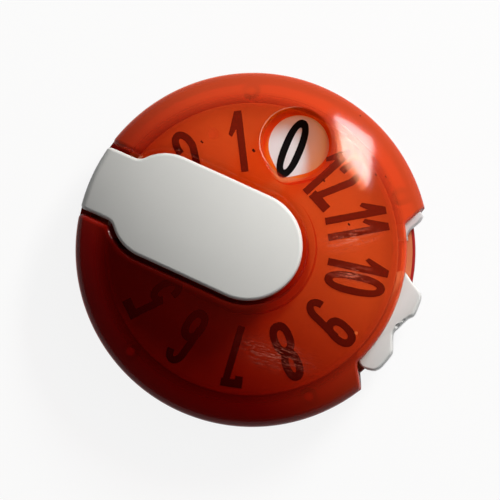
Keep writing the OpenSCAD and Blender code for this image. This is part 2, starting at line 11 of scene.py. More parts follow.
import logging
import math
from abc import ABC, abstractmethod
from contextlib import contextmanager
from dataclasses import dataclass, replace
from enum import Enum
from typing import ClassVar, Iterable, Iterator, Sequence

import bmesh
import bpy
import numpy as np
from mathutils import Matrix, Vector


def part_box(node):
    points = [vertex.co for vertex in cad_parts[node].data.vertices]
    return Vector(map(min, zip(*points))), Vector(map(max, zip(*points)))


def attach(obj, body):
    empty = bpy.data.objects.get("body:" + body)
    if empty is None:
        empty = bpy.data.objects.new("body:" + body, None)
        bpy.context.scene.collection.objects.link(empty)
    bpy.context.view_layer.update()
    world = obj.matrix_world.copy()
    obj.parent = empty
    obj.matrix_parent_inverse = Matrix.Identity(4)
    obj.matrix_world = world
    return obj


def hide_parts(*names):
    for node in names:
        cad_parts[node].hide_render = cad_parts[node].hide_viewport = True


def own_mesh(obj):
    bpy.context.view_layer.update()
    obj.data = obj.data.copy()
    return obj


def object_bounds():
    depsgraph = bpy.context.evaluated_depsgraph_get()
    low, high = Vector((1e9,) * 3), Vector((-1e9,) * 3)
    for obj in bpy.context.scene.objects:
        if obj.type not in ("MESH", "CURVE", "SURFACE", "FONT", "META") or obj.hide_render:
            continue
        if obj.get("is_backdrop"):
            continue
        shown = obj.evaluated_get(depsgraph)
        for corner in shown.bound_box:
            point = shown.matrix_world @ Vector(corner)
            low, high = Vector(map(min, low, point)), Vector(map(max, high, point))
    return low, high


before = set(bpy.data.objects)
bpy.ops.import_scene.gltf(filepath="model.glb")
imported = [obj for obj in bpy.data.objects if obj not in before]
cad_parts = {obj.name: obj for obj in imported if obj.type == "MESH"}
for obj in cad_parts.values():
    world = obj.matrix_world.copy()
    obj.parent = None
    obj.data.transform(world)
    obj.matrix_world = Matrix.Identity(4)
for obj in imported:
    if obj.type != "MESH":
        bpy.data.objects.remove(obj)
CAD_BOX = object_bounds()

log = logging.getLogger("score_counter")

MM = 0.001
UP = Vector((0, 0, 1))
ABOVE = 20.0
OUTSIDE = 23.0
CASE_STEPS = 256
SCREW_AT = 18.75
SCREW_FRONT = 44.0
SCREW_BACK = 115.0
SCREW_ANGLES = (SCREW_FRONT, -SCREW_FRONT, SCREW_BACK, -SCREW_BACK)
SEAM_ROUND = 0.12
BAND_LOW = 4.2
COPY_ANGLE = 40.0
LEVER_TILT = 5.0
LEVER_PIVOT = (10.5, 0.0)
LEVER_PEG = (14.2, -0.9)
PEG_R = 0.5
Plan = tuple[float, float]
Point = tuple[float, float, float]
Tint = tuple[float, float, float]
Piece = bpy.types.Object
WHITE: Tint = (1.0, 1.0, 1.0)


class Join(Enum):
    """How a tool changes the solid that it is used on."""

    ADD = "UNION"
    CUT = "DIFFERENCE"
    TRIM = "INTERSECT"


class Body(Enum):
    """The moving bodies of the frame."""

    CASE = "case"
    KEY = "reset_key"
    LEVER = "count_lever"
    WASHER = "lift_washer"
    DIAL = "dial"


def polar(radius: float, degrees: float) -> Plan:
    """Plan point at a radius and an angle."""
    return radius * math.cos(math.radians(degrees)), radius * math.sin(math.radians(degrees))


def arc(centre: Plan, radius: float, start: float, end: float, steps: int) -> list[Plan]:
    """Points along an arc of so many chords, between two angles in degrees."""
    angles = [start + (end - start) * i / steps for i in range(steps + 1)]
    return [(centre[0] + polar(radius, a)[0], centre[1] + polar(radius, a)[1]) for a in angles]


def towards(first: Plan, last: Plan, part: float, whole: float = 1.0) -> Plan:
    """The point that lies part / whole of the way from one point to another.

    Args:
        first: Where the way starts.
        last: Where it ends.
        part: How much of it is gone.
        whole: The whole way, in the same measure.

    Returns:
        The point.
    """
    return (
        first[0] + (last[0] - first[0]) * part / whole,
        first[1] + (last[1] - first[1]) * part / whole,
    )


def moved(point: Plan, way: Plan, distance: float) -> Plan:
    """A point moved a distance along a direction."""
    return point[0] + way[0] * distance, point[1] + way[1] * distance


def between(first: Plan, last: Plan, steps: int) -> list[Plan]:
    """Points that divide a straight line, without its first and last point."""
    return [towards(first, last, i, steps) for i in range(1, steps)]


def steps_between(first: float, last: float, steps: int) -> list[float]:
    """Evenly spaced numbers from first to last, both included."""
    return [first + (last - first) * i / steps for i in range(steps + 1)]


def turned_plan(point: Plan, degrees: float) -> Plan:
    """A plan point turned about the origin."""
    c, s = math.cos(math.radians(degrees)), math.sin(math.radians(degrees))
    return point[0] * c - point[1] * s, point[0] * s + point[1] * c


@contextmanager
def editing(mesh: bpy.types.Mesh) -> Iterator[bmesh.types.BMesh]:
    """Opens a mesh for editing and writes it back at the end.

    Args:
        mesh: The mesh.

    Yields:
        The mesh, open for editing.
    """
    work = bmesh.new()
    work.from_mesh(mesh)
    yield work
    work.to_mesh(mesh)
    work.free()


def add_object(name: str, data: bpy.types.ID) -> Piece:
    """A new object for a mesh, lamp or camera, linked to the scene.

    Args:
        name: Name of the object.
        data: Its mesh, lamp or camera.

    Returns:
        The object.
    """
    made = bpy.data.objects.new(name, data)
    bpy.context.scene.collection.objects.link(made)
    return made


class Solid:
    """A closed mesh in millimetres, made loop by loop."""

    def __init__(self, name: str) -> None:
        """Starts an empty solid with this name.

        Args:
            name: Name of the object that is built.
        """
        self.name = name
        self.points: list[Point] = []
        self.faces: list[tuple[int, ...]] = []

    def loop(self, points: Iterable[Point]) -> list[int]:
        """Adds points to the solid.

        Args:
            points: The loop's points.

        Returns:
            Their numbers.
        """
        start = len(self.points)
        self.points.extend(points)
        return list(range(start, len(self.points)))

    def bridge(self, first: Sequence[int], second: Sequence[int]) -> None:
        """Joins two closed loops of equal length with four-sided faces.

        Args:
            first: Point numbers of one loop.
            second: Point numbers of the other loop.
        """
        count = len(first)
        for i in range(count):
            j = (i + 1) % count
            self.faces.append((first[i], first[j], second[j], second[i]))

    def skin(self, rings: Iterable[Iterable[Point]], closed: bool = False) -> Piece:
        """Joins rings one after the other and builds the solid.

        Args:
            rings: Rings of equally many points.
            closed: Whether the last ring joins the first. Both are filled if not.

        Returns:
            The object, in millimetres.
        """
        loops = [self.loop(ring) for ring in rings]
        for here, following in zip(loops, loops[1:]):
            self.bridge(here, following)
        if closed:
            self.bridge(loops[-1], loops[0])
        else:
            self.faces += [tuple(loops[0]), tuple(loops[-1])]
        return self.build()

    def build(self) -> Piece:
        """Makes the object, with doubles merged and every face turned outwards.

        Returns:
            The object, in millimetres, linked to the scene.
        """
        mesh = bpy.data.meshes.new(self.name)
        mesh.from_pydata(self.points, [], self.faces)
        with editing(mesh) as work:
            bmesh.ops.remove_doubles(work, verts=work.verts, dist=1e-5)
            bmesh.ops.dissolve_degenerate(work, edges=work.edges, dist=1e-5)
            bmesh.ops.recalc_face_normals(work, faces=work.faces)
        return add_object(self.name, mesh)


def lathe(name: str, profile: Sequence[Plan], steps: int = 192) -> Piece:
    """Turns a closed profile about the Z axis.

    Args:
        name: Name of the object.
        profile: Points (radius, height) round the section. Radius 0 is a pole.
        steps: Number of divisions round the axis.

    Returns:
        The turned solid, in millimetres.
    """
    solid = Solid(name)
    rings: list[list[int]] = []
    for radius, height in profile:
        if radius < 1e-9:
            rings.append(solid.loop([(0.0, 0.0, height)]))
        else:
            ring = ((*polar(radius, 360 * i / steps), height) for i in range(steps))
            rings.append(solid.loop(ring))
    for here, following in zip(rings, rings[1:] + rings[:1]):
        if len(here) == len(following) == steps:
            solid.bridge(here, following)
        elif len(here) != len(following):
            ring, pole = (here, following[0]) if len(here) > 1 else (following, here[0])
            for i in range(steps):
                solid.faces.append((ring[i], ring[(i + 1) % steps], pole))
    return solid.build()


def prism(name: str, outline: Sequence[Plan], low: float, high: float) -> Piece:
    """A straight prism between two heights, in millimetres."""
    return Solid(name).skin([(x, y, z) for x, y in outline] for z in (low, high))


def round_edges(
    work: bmesh.types.BMesh,
    edges: Sequence[bmesh.types.BMEdge],
    radius: float,
    steps: int,
    **more: str,
) -> None:
    """Rounds edges of a mesh that is being edited, with more settings for the bevel."""
    settings = {"profile": 0.5, "affect": "EDGES", "clamp_overlap": True, **more}
    bmesh.ops.bevel(work, geom=edges, offset=radius, segments=steps, **settings)


def rounded_prism(
    name: str, outline: Sequence[Plan], low: float, high: float, edge: float
) -> Piece:
    """A prism whose top and bottom edges are rounded.

    Args:
        name: Name of the object.
        outline: Plan of the prism.
        low: Height of its underside.
        high: Height of its top.
        edge: Radius of the rounding.

    Returns:
        The prism, in millimetres.
    """
    made = prism(name, outline, low, high)
    with editing(made.data) as work:
        level = [e for e in work.edges if abs(e.verts[0].co.z - e.verts[1].co.z) < 1e-6]
        round_edges(work, level, edge, 4)
    return made


def round_bar(
    name: str, centre: Point, radius: float, length: float, steps: int = 48, axis: Vector = UP
) -> Piece:
    """A straight round bar.

    Args:
        name: Name of the object.
        centre: Middle of the bar.
        radius: Radius of the bar.
        length: Length of the bar.
        steps: Divisions round the bar.
        axis: Direction of the bar.

    Returns:
        The bar, in millimetres.
    """
    made = prism(name, arc((0, 0), radius, 0, 360, steps)[:-1], -length / 2, length / 2)
    made.data.transform(axis.to_track_quat("Z", "Y").to_matrix().to_4x4())
    made.data.transform(Matrix.Translation(centre))
    return made


def screw_bars(name: str, z: float, radius: float, length: float) -> list[Piece]:
    """Four upright bars where the case's screws are, about a height."""
    return [round_bar(name, (*polar(SCREW_AT, a), z), radius, length) for a in SCREW_ANGLES]


def ball(name: str, centre: Point, radius: float) -> Piece:
    """A small ball about a centre.

    Args:
        name: Name of the object.
        centre: Centre of the ball.
        radius: Radius of the ball.

    Returns:
        The ball, in millimetres.
    """
    made = lathe(name, arc((0.0, 0.0), radius, -90, 90, 10), 20)
    made.data.transform(Matrix.Translation(centre))
    return made


def shape(target: Piece, join: Join, *tools: Piece) -> None:
    """Adds tools to a solid, cuts them out of it or keeps what they share with it.

    Args:
        target: The solid that changes.
        join: What the tools do.
        *tools: Closed solids, which are used up.
    """
    for tool in tools:
        modifier = target.modifiers.new("shape", "BOOLEAN")
        modifier.solver = "MANIFOLD"
        modifier.operation = join.value
        modifier.object = tool
    apply_modifiers(target)
    for tool in tools:
        bpy.data.objects.remove(tool)


def apply_modifiers(target: Piece) -> None:
    """Makes the modified shape of an object its own mesh and removes the modifiers.

    Args:
        target: The object.
    """
    graph = bpy.context.evaluated_depsgraph_get()
    mesh = bpy.data.meshes.new_from_object(target.evaluated_get(graph))
    target.modifiers.clear()
    old = target.data
    target.data = mesh
    bpy.data.meshes.remove(old)
    if not mesh.polygons:
        raise RuntimeError(f"{target.name} has no faces left")


def radial(points: np.ndarray) -> tuple[np.ndarray, np.ndarray]:
    """Distances from the Z axis and the unit vectors away from it, in plan."""
    flat = np.hypot(points[:, 0], points[:, 1]) + 1e-12
    return flat, points[:, :2] / flat[:, None]


@dataclass(frozen=True)
class TurnedArc:
    """A surface of revolution whose section is an arc about (at_r, at_z)."""

    at_r: float
    at_z: float
    radius: float

    def meet(self, points: np.ndarray) -> tuple[np.ndarray, np.ndarray]:
        """How far points lie from the surface, and its normals there.

        Args:
            points: Points in millimetres, one in each row.

        Returns:
            The distances and the unit normals.
        """
        flat, away = radial(points)
        out, up = flat - self.at_r, points[:, 2] - self.at_z
        length = np.hypot(out, up) + 1e-12
        normals = np.column_stack([away * out[:, None] / length[:, None], up / length])
        return np.abs(length - self.radius), normals


@dataclass(frozen=True)
class UprightWall:
    """A round wall about the Z axis."""

    radius: float

    def meet(self, points: np.ndarray) -> tuple[np.ndarray, np.ndarray]:
        """How far points lie from the wall, and its normals there, as for an arc."""
        flat, away = radial(points)
        return np.abs(flat - self.radius), np.column_stack([away, np.zeros(len(points))])


def read_rows(items: bpy.types.bpy_prop_collection, name: str, width: int) -> np.ndarray:
    """A property of many items, with one row for each.

    Args:
        items: The items.
        name: Name of the property.
        width: Numbers in each row.

    Returns:
        The rows.
    """
    values = np.empty(len(items) * width)
    items.foreach_get(name, values)
    return values.reshape(-1, width)


def smooth_shading(
    mesh: bpy.types.Mesh,
    angle: float = 35.0,
    surfaces: Sequence[TurnedArc | UprightWall] = (),
) -> None:
    """Shades a mesh smoothly up to an angle, with the true normals of known surfaces.

    Args:
        mesh: The mesh, in millimetres.
        angle: Edges sharper than this stay sharp.
        surfaces: Surfaces whose own normals are used where a face lies on them.
    """
    mesh.shade_smooth()
    mesh.set_sharp_from_angle(angle=math.radians(angle))
    if not surfaces:
        return
    corner = read_rows(mesh.corner_normals, "vector", 3)
    index = read_rows(mesh.loops, "vertex_index", 1)[:, 0].astype(int)
    points = read_rows(mesh.vertices, "co", 3)[index]
    totals = read_rows(mesh.polygons, "loop_total", 1)[:, 0].astype(int)
    facing = np.repeat(read_rows(mesh.polygons, "normal", 3), totals, axis=0)
    for surface in surfaces:
        off, normals = surface.meet(points)
        along = np.sum(normals * facing, axis=1)
        on = (off < 0.006) & (np.abs(along) > 0.985)
        corner[on] = normals[on] * np.sign(along[on])[:, None]
    mesh.normals_split_custom_set(corner.tolist())


def settle(
    piece: Piece,
    material: bpy.types.Material,
    body: Body,
    stands_for: Sequence[str] = (),
) -> Piece:
    """Brings a piece from millimetres to metres and hands it to the frame.

    Args:
        piece: The finished piece, in millimetres.
        material: Its finish.
        body: The body that it rides on.
        stands_for: The frame's nodes that it replaces.

    Returns:
        The piece.
    """
    piece.data.transform(Matrix.Scale(MM, 4))
    piece.data.materials.clear()
    piece.data.materials.append(material)
    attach(piece, body.value)
    if stands_for:
        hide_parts(*stands_for)
    log.info("%s: %d faces", piece.name, len(piece.data.polygons))
    return piece


class Moulding(ABC):
    """A piece that is built whole, stands for one node and has one finish."""

    body: ClassVar[Body] = Body.CASE
    slot_name: ClassVar[str]
    node: ClassVar[str]

    @abstractmethod
    def build(self) -> Piece:
        """The piece's mesh, in millimetres."""

    def dress(self, finish: MouldedPlastic | ClearPlastic) -> None:
        """Builds the piece and hands it over in its finish."""
        settle(self.build(), finish.material(), self.body, [self.node])


class Reading:
    """An output socket that Python's operators work on."""

    def __init__(self, kit: NodeKit, socket: bpy.types.NodeSocket) -> None:
        self.kit = kit
        self.socket = socket

    def __add__(self, other: Reading | float) -> Reading:
        """Sum."""
        return self.kit.maths("ADD", self, other)

    def __radd__(self, other: float) -> Reading:
        """Sum with a number on the left."""
        return self.kit.maths("ADD", other, self)

    def __sub__(self, other: Reading | float) -> Reading:
        """Difference."""
        return self.kit.maths("SUBTRACT", self, other)

    def __rsub__(self, other: float) -> Reading:
        """Difference from a number."""
        return self.kit.maths("SUBTRACT", other, self)

    def __mul__(self, other: Reading | float) -> Reading:
        """Product."""
        return self.kit.maths("MULTIPLY", self, other)

    def __rmul__(self, other: float) -> Reading:
        """Product with a number on the left."""
        return self.kit.maths("MULTIPLY", other, self)

    def below(self, edge: float, soft: float) -> Reading:
        """1 where the reading is under edge, 0 where it is over edge + soft."""
        return self.kit.maths("DIVIDE", edge + soft - self, soft, clamp=True)

    def most(self, other: Reading | float) -> Reading:
        """The larger of two readings."""
        return self.kit.maths("MAXIMUM", self, other)


class NodeKit:
    """Adds nodes to one shader tree or geometry tree."""

    def __init__(self, tree: bpy.types.NodeTree) -> None:
        """Takes the tree that nodes are added to."""
        self.tree = tree

    def add(
        self,
        kind: str,
        settings: dict[str, object] | None = None,
        inputs: dict[str | int, object] | None = None,
    ) -> bpy.types.Node:
        """Adds a node.

        Args:
            kind: The node's type.
            settings: Its options, set first.
            inputs: Values or links of its sockets, by name or number.

        Returns:
            The node.
        """
        node = self.tree.nodes.new(kind)
        for name, value in (settings or {}).items():
            setattr(node, name, value)
        for key, value in (inputs or {}).items():
            if isinstance(value, Reading):
                value = value.socket
            elif isinstance(value, bpy.types.Node):
                value = value.outputs[0]
            if isinstance(value, bpy.types.NodeSocket):
                self.tree.links.new(value, node.inputs[key])
            else:
                node.inputs[key].default_value = value
        return node

    def read(self, node: bpy.types.Node, output: str | int = 0) -> Reading:
        """An output of a node as a reading."""
        return Reading(self, node.outputs[output])

    def maths(self, operation: str, *values: Reading | float, clamp: bool = False) -> Reading:
        """The result of a Math node, kept from 0 to 1 where it is clamped."""
        settings = {"operation": operation, "use_clamp": clamp}
        return self.read(self.add("ShaderNodeMath", settings, dict(enumerate(values))))

    def place(self) -> bpy.types.NodeSocket:
        """The point on the piece, in its own coordinates."""
        return self.add("ShaderNodeTexCoord").outputs["Object"]

    def split(self, vector: bpy.types.NodeSocket | bpy.types.Node) -> tuple[Reading, ...]:
        """The x, y and z of a vector."""
        node = self.add("ShaderNodeSeparateXYZ", None, {0: vector})
        return tuple(self.read(node, i) for i in range(3))

    def noise(self, scale: float, detail: float) -> Reading:
        """Even noise over a piece, about 0.5 on average.

        Args:
            scale: Scale of the noise, per metre.
            detail: Its levels of detail.

        Returns:
            The noise.
        """
        node = self.add(
            "ShaderNodeTexNoise",
            {"noise_dimensions": "3D"},
            {"Vector": self.place(), "Scale": scale, "Detail": detail},
        )
        return self.read(node, "Fac")

    def tint(self, mask: Reading, low: Tint | Reading, high: Tint) -> Reading:
        """A colour that goes from low to high with a mask.

        Args:
            mask: The mask, from 0 to 1.
            low: Colour where the mask is 0.
            high: Colour where it is 1.

        Returns:
            The colour.
        """
        start = low if isinstance(low, Reading) else (*low, 1.0)
        node = self.add(
            "ShaderNodeMix", {"data_type": "RGBA"}, {0: mask, 6: start, 7: (*high, 1.0)}
        )
        return self.read(node, 2)

    def bump(self, height: Reading, strength: float, distance: float) -> bpy.types.NodeSocket:
        """The normal that a height gives.

        Args:
            height: The height.
            strength: How much of its effect is used.
            distance: What a height of 1 stands for, in metres.

        Returns:
            The normal.
        """
        node = self.add(
            "ShaderNodeBump", None, {"Height": height, "Strength": strength, "Distance": distance}
        )
        return node.outputs["Normal"]

    def principled(self, **inputs: object) -> bpy.types.Node:
        """Adds a Principled shader, whose sockets are named with underscores for spaces."""
        named = {key.replace("_", " "): value for key, value in inputs.items()}
        return self.add("ShaderNodeBsdfPrincipled", None, named)

    def clear(self, tint: Tint) -> bpy.types.Node:
        """Adds a shader that lets light through tinted."""
        return self.add("ShaderNodeBsdfTransparent", None, {"Color": (*tint, 1.0)})

    def glow(self, tint: Tint, strength: float) -> bpy.types.Node:
        """Adds a shader that glows.

        Args:
            tint: Colour of the glow.
            strength: Its strength.

        Returns:
            The shader.
        """
        return self.add(
            "ShaderNodeEmission", None, {"Color": (*tint, 1.0), "Strength": strength}
        )

    def mix(self, share: Reading, first: bpy.types.Node, second: bpy.types.Node) -> bpy.types.Node:
        """Adds a mix of two shaders, the second where the share is 1."""
        return self.add("ShaderNodeMixShader", None, {0: share, 1: first, 2: second})


class Finish:
    """A material under construction, with an empty tree."""

    def __init__(self, name: str) -> None:
        """Starts the material with this name.

        Args:
            name: Name of the material.
        """
        self.material = bpy.data.materials.new(name)
        self.material.use_nodes = True
        self.material.node_tree.nodes.clear()
        self.kit = NodeKit(self.material.node_tree)
        self.output = self.kit.add("ShaderNodeOutputMaterial")

    def end(self, shader: bpy.types.Node) -> bpy.types.Material:
        """Links the last shader to the surface and returns the material."""
        self.kit.tree.links.new(shader.outputs[0], self.output.inputs["Surface"])
        return self.material


@dataclass(frozen=True)
class MouldedPlastic:
    """Opaque moulded plastic with faint clouding and the fine texture of its mould."""

    name: str
    colour: Tint
    shade: Tint
    roughness: float = 0.32
    shine: float = 0.5
    grain: float = 0.000004

    def material(self) -> bpy.types.Material:
        """Makes the material.

        Returns:
            The material.
        """
        made = Finish(self.name)
        kit = made.kit
        cloud = kit.noise(scale=260.0, detail=3.0)
        fine = kit.noise(scale=5200.0, detail=2.0)
        shader = kit.principled(
            Base_Color=kit.tint(cloud, self.shade, self.colour),
            Roughness=self.roughness - 0.06 + 0.12 * cloud,
            Specular_IOR_Level=self.shine,
            IOR=1.49,
            Normal=kit.bump(fine + 0.6 * cloud, strength=0.35, distance=self.grain),
        )
        return made.end(shader)


@dataclass(frozen=True)
class PrintedInk:
    """Matt printing ink, a little thin in places."""

    name: str
    colour: Tint = (0.003, 0.0025, 0.003)
    worn: Tint = (0.008, 0.007, 0.007)

    def material(self) -> bpy.types.Material:
        """Makes the material.

        Returns:
            The material.
        """
        made = Finish(self.name)
        kit = made.kit
        cloud = kit.noise(scale=1500.0, detail=4.0)
        shader = kit.principled(
            Base_Color=kit.tint(cloud, self.colour, self.worn),
            Roughness=0.5 + 0.2 * cloud,
            Specular_IOR_Level=0.05,
            Normal=kit.bump(cloud, strength=0.2, distance=0.00001),
        )
        return made.end(shader)


@dataclass(frozen=True)
class TurnedMetal:
    """Bright metal with fine marks of turning or drawing."""

    name: str
    colour: Tint = (0.62, 0.62, 0.63)
    dull: Tint = (0.42, 0.42, 0.43)
    roughness: float = 0.28

    def material(self) -> bpy.types.Material:
        """Makes the material.

        Returns:
            The material.
        """
        made = Finish(self.name)
        kit = made.kit
        cloud = kit.noise(scale=700.0, detail=3.0)
        lines = kit.add(
            "ShaderNodeTexWave",
            {"wave_type": "RINGS", "rings_direction": "Z"},
            {"Vector": kit.place(), "Scale": 2600.0, "Distortion": 1.5, "Detail": 2.0},
        )
        shader = kit.principled(
            Base_Color=kit.tint(cloud, self.dull, self.colour),
            Metallic=1.0,
            Roughness=self.roughness + 0.14 * cloud,
            Normal=kit.bump(kit.read(lines, "Fac"), strength=0.15, distance=0.000006),
        )
        return made.end(shader)


@dataclass(frozen=True)
class Speck:
    """A round spot in the clear plastic, dark unless it has a colour of its own."""

    x: float
    y: float
    radius: float
    colour: Tint = (0.005, 0.004, 0.004)
    weight: float = 1.0
    soft: float = 0.03


@dataclass(frozen=True)
class ScratchPatch:
    """A patch of fine hair scratches that run one way."""

    x: float
    y: float
    reach: float
    heading: float


@dataclass(frozen=True)
class ClearPlastic:
    """Clear coloured plastic: light goes through it tinted, and some is scattered back. Painted
    shade darkens the side away from the lamp, and the window's wall has a painted glow and a
    painted highlight.
    """

    name: str
    tint: Tint
    scatter: Tint
    # painted shade: deeper tint and darker scatter on the side away from the lamp
    painted_shade_tint: Tint
    painted_shade_scatter: Tint
    rim_scatter: Tint
    body: float
    rim_body: float
    rim: Plan = (16.6, 18.6)
    rim_low: Plan = (0.2, 1.2)
    roughness: float = 0.07
    # heading towards the lamp, and the span along it over which the painted shade fades out
    painted_light_heading: float = 70.0
    painted_shade: Plan = (-13.0, 8.0)
    gloss: float = 0.011
    rim_gloss: float = 0.2
    specks: tuple[Speck, ...] = ()
    scratches: tuple[ScratchPatch, ...] = ()
    scratch_tint: Tint = (1.0, 0.62, 0.45)
    # painted glow: the window's wall scatters a bright orange as if lit from within, and lets light
    # through deeper orange
    glow: Speck | None = None
    glow_tint: Tint = (1.0, 0.4, 0.05)
    # past the dial's edge the wall scatters more of the painted glow, covering the dark inside of
    # the case
    dial_r: float = 16.95
    dial_soft: float = 0.3
    wall_share: Plan = (0.05, 0.22)
    scratch_share: float = 0.4
    scratch_depth: float = 0.3
    scratch_colour: float = 0.6
    # painted highlight: a pale line just outside the window's wall, on its left side
    painted_highlight_width: float = 0.08
    painted_highlight_share: float = 0.3
    painted_highlight_x: Plan = (-2.6, 1.6)
    painted_highlight_tint: Tint = (1.0, 0.72, 0.5)

    def spot(self, x: Reading, y: Reading, speck: Speck) -> Reading:
        """Where a speck is, from 0 to its weight.

        Args:
            x: Where the shaded point is along X.
            y: Where it is along Y.
            speck: The speck.

        Returns:
            The mask.
        """
        kit = x.kit
        dx, dy = x - speck.x * MM, y - speck.y * MM
        away = kit.maths("SQRT", dx * dx + dy * dy)
        return speck.weight * away.below(speck.radius * MM, speck.soft * MM)

    def scratch_mask(self, kit: NodeKit) -> Reading:
        """Where the hair scratches are, from 0 to 1.

        Args:
            kit: The material's nodes.

        Returns:
            The mask.
        """
        found: Reading | None = None
        for patch in self.scratches:
            turned = kit.add(
                "ShaderNodeMapping",
                {"vector_type": "TEXTURE"},
                {
                    "Vector": kit.place(),
                    "Location": (patch.x * MM, patch.y * MM, 0.0),
                    "Rotation": (0.0, 0.0, math.radians(patch.heading)),
                },
            )
            x, y, _ = kit.split(turned)
            away = kit.maths("SQRT", x * x + 6.0 * y * y)
            near = away.below(patch.reach * 0.3 * MM, patch.reach * MM)
            squeezed = kit.add(
                "ShaderNodeMapping",
                {"vector_type": "POINT"},
                {"Vector": turned, "Scale": (0.1, 1.0, 0.0)},
            )
            hair = kit.add(
                "ShaderNodeTexNoise",
                {"noise_dimensions": "2D"},
                {"Vector": squeezed, "Scale": 5200.0, "Detail": 3.0, "Distortion": 0.5},
            )
            lines = kit.maths("ABSOLUTE", kit.read(hair, "Fac") - 0.5)
            mark = lines.below(edge=0.007, soft=0.026) * near
            found = mark if found is None else found.most(mark)
        return found

    def material(self) -> bpy.types.Material:
        """Makes the material.

        Returns:
            The material.
        """
        made = Finish(self.name)
        kit = made.kit
        cloud = kit.noise(scale=120.0, detail=4.0)
        x, y, z = kit.split(kit.place())
        facing = kit.read(kit.add("ShaderNodeLayerWeight", None, {"Blend": 0.5}), "Facing")
        axis = kit.maths("SQRT", x * x + y * y)
        rim = 1.0 - axis.below(self.rim[0] * MM, (self.rim[1] - self.rim[0]) * MM)
        rim = rim * (1.0 - z.below(self.rim_low[0] * MM, self.rim_low[1] * MM))
        # painted shade: tint and scatter go deeper and darker on the side away from the lamp
        way = polar(1.0, self.painted_light_heading)
        along = x * way[0] + y * way[1]
        painted_shade = along.below(self.painted_shade[0] * MM, (self.painted_shade[1] - self.painted_shade[0]) * MM)
        share = self.body + 0.03 * (cloud - 0.5) + self.rim_body * rim
        relief = cloud
        gloss = self.rim_gloss * kit.maths("POWER", facing, 4.0)
        colour = kit.tint(painted_shade, kit.tint(rim, self.scatter, self.rim_scatter), self.painted_shade_scatter)
        if self.scratches:
            hair = self.scratch_mask(kit)
            share = share + self.scratch_share * hair
            relief = relief - self.scratch_depth * hair
            colour = kit.tint(self.scratch_colour * hair, colour, self.scratch_tint)
        for speck in self.specks:
            dot = self.spot(x, y, speck)
            share = share.most(dot)
            colour = kit.tint(dot, colour, speck.colour)
        clear = kit.clear(self.tint)
        # painted glow: the window's wall scatters a bright orange, more so past the dial's edge,
        # and lets light through deeper orange
        if self.glow:
            wall = self.spot(x, y, self.glow)
            past_dial = 1.0 - axis.below(self.dial_r * MM, self.dial_soft * MM)
            share = share - wall * (share - self.wall_share[0] - self.wall_share[1] * past_dial)
            colour = kit.tint(wall, colour, self.glow.colour)
            # painted highlight: a pale line along the left edge of the window's wall
            wider = replace(self.glow, radius=self.glow.radius + self.painted_highlight_width)
            edge = self.spot(x, y, wider) - wall
            edge = edge * x.below(self.painted_highlight_x[0] * MM, self.painted_highlight_x[1] * MM)
            share = share + self.painted_highlight_share * edge
            colour = kit.tint(edge, colour, self.painted_highlight_tint)
            gloss = gloss * (1.0 - wall)
            clear = kit.mix(wall, clear, kit.clear(self.glow_tint))
        # painted shade: light through the side away from the lamp is tinted deeper
        through = kit.mix(painted_shade, clear, kit.clear(self.painted_shade_tint))
        normal = kit.bump(relief, strength=0.12, distance=0.00004)
        solid = kit.principled(
            Base_Color=colour, Roughness=0.45 + 0.1 * cloud, Specular_IOR_Level=0.0, Normal=normal
        )
        skin = kit.principled(
            Base_Color=(*WHITE, 1.0),
            Metallic=1.0,
            Roughness=self.roughness + 0.04 * cloud,
            Normal=normal,
        )
        inner = kit.mix(share, through, solid)
        return made.end(kit.mix(self.gloss + gloss, inner, skin))


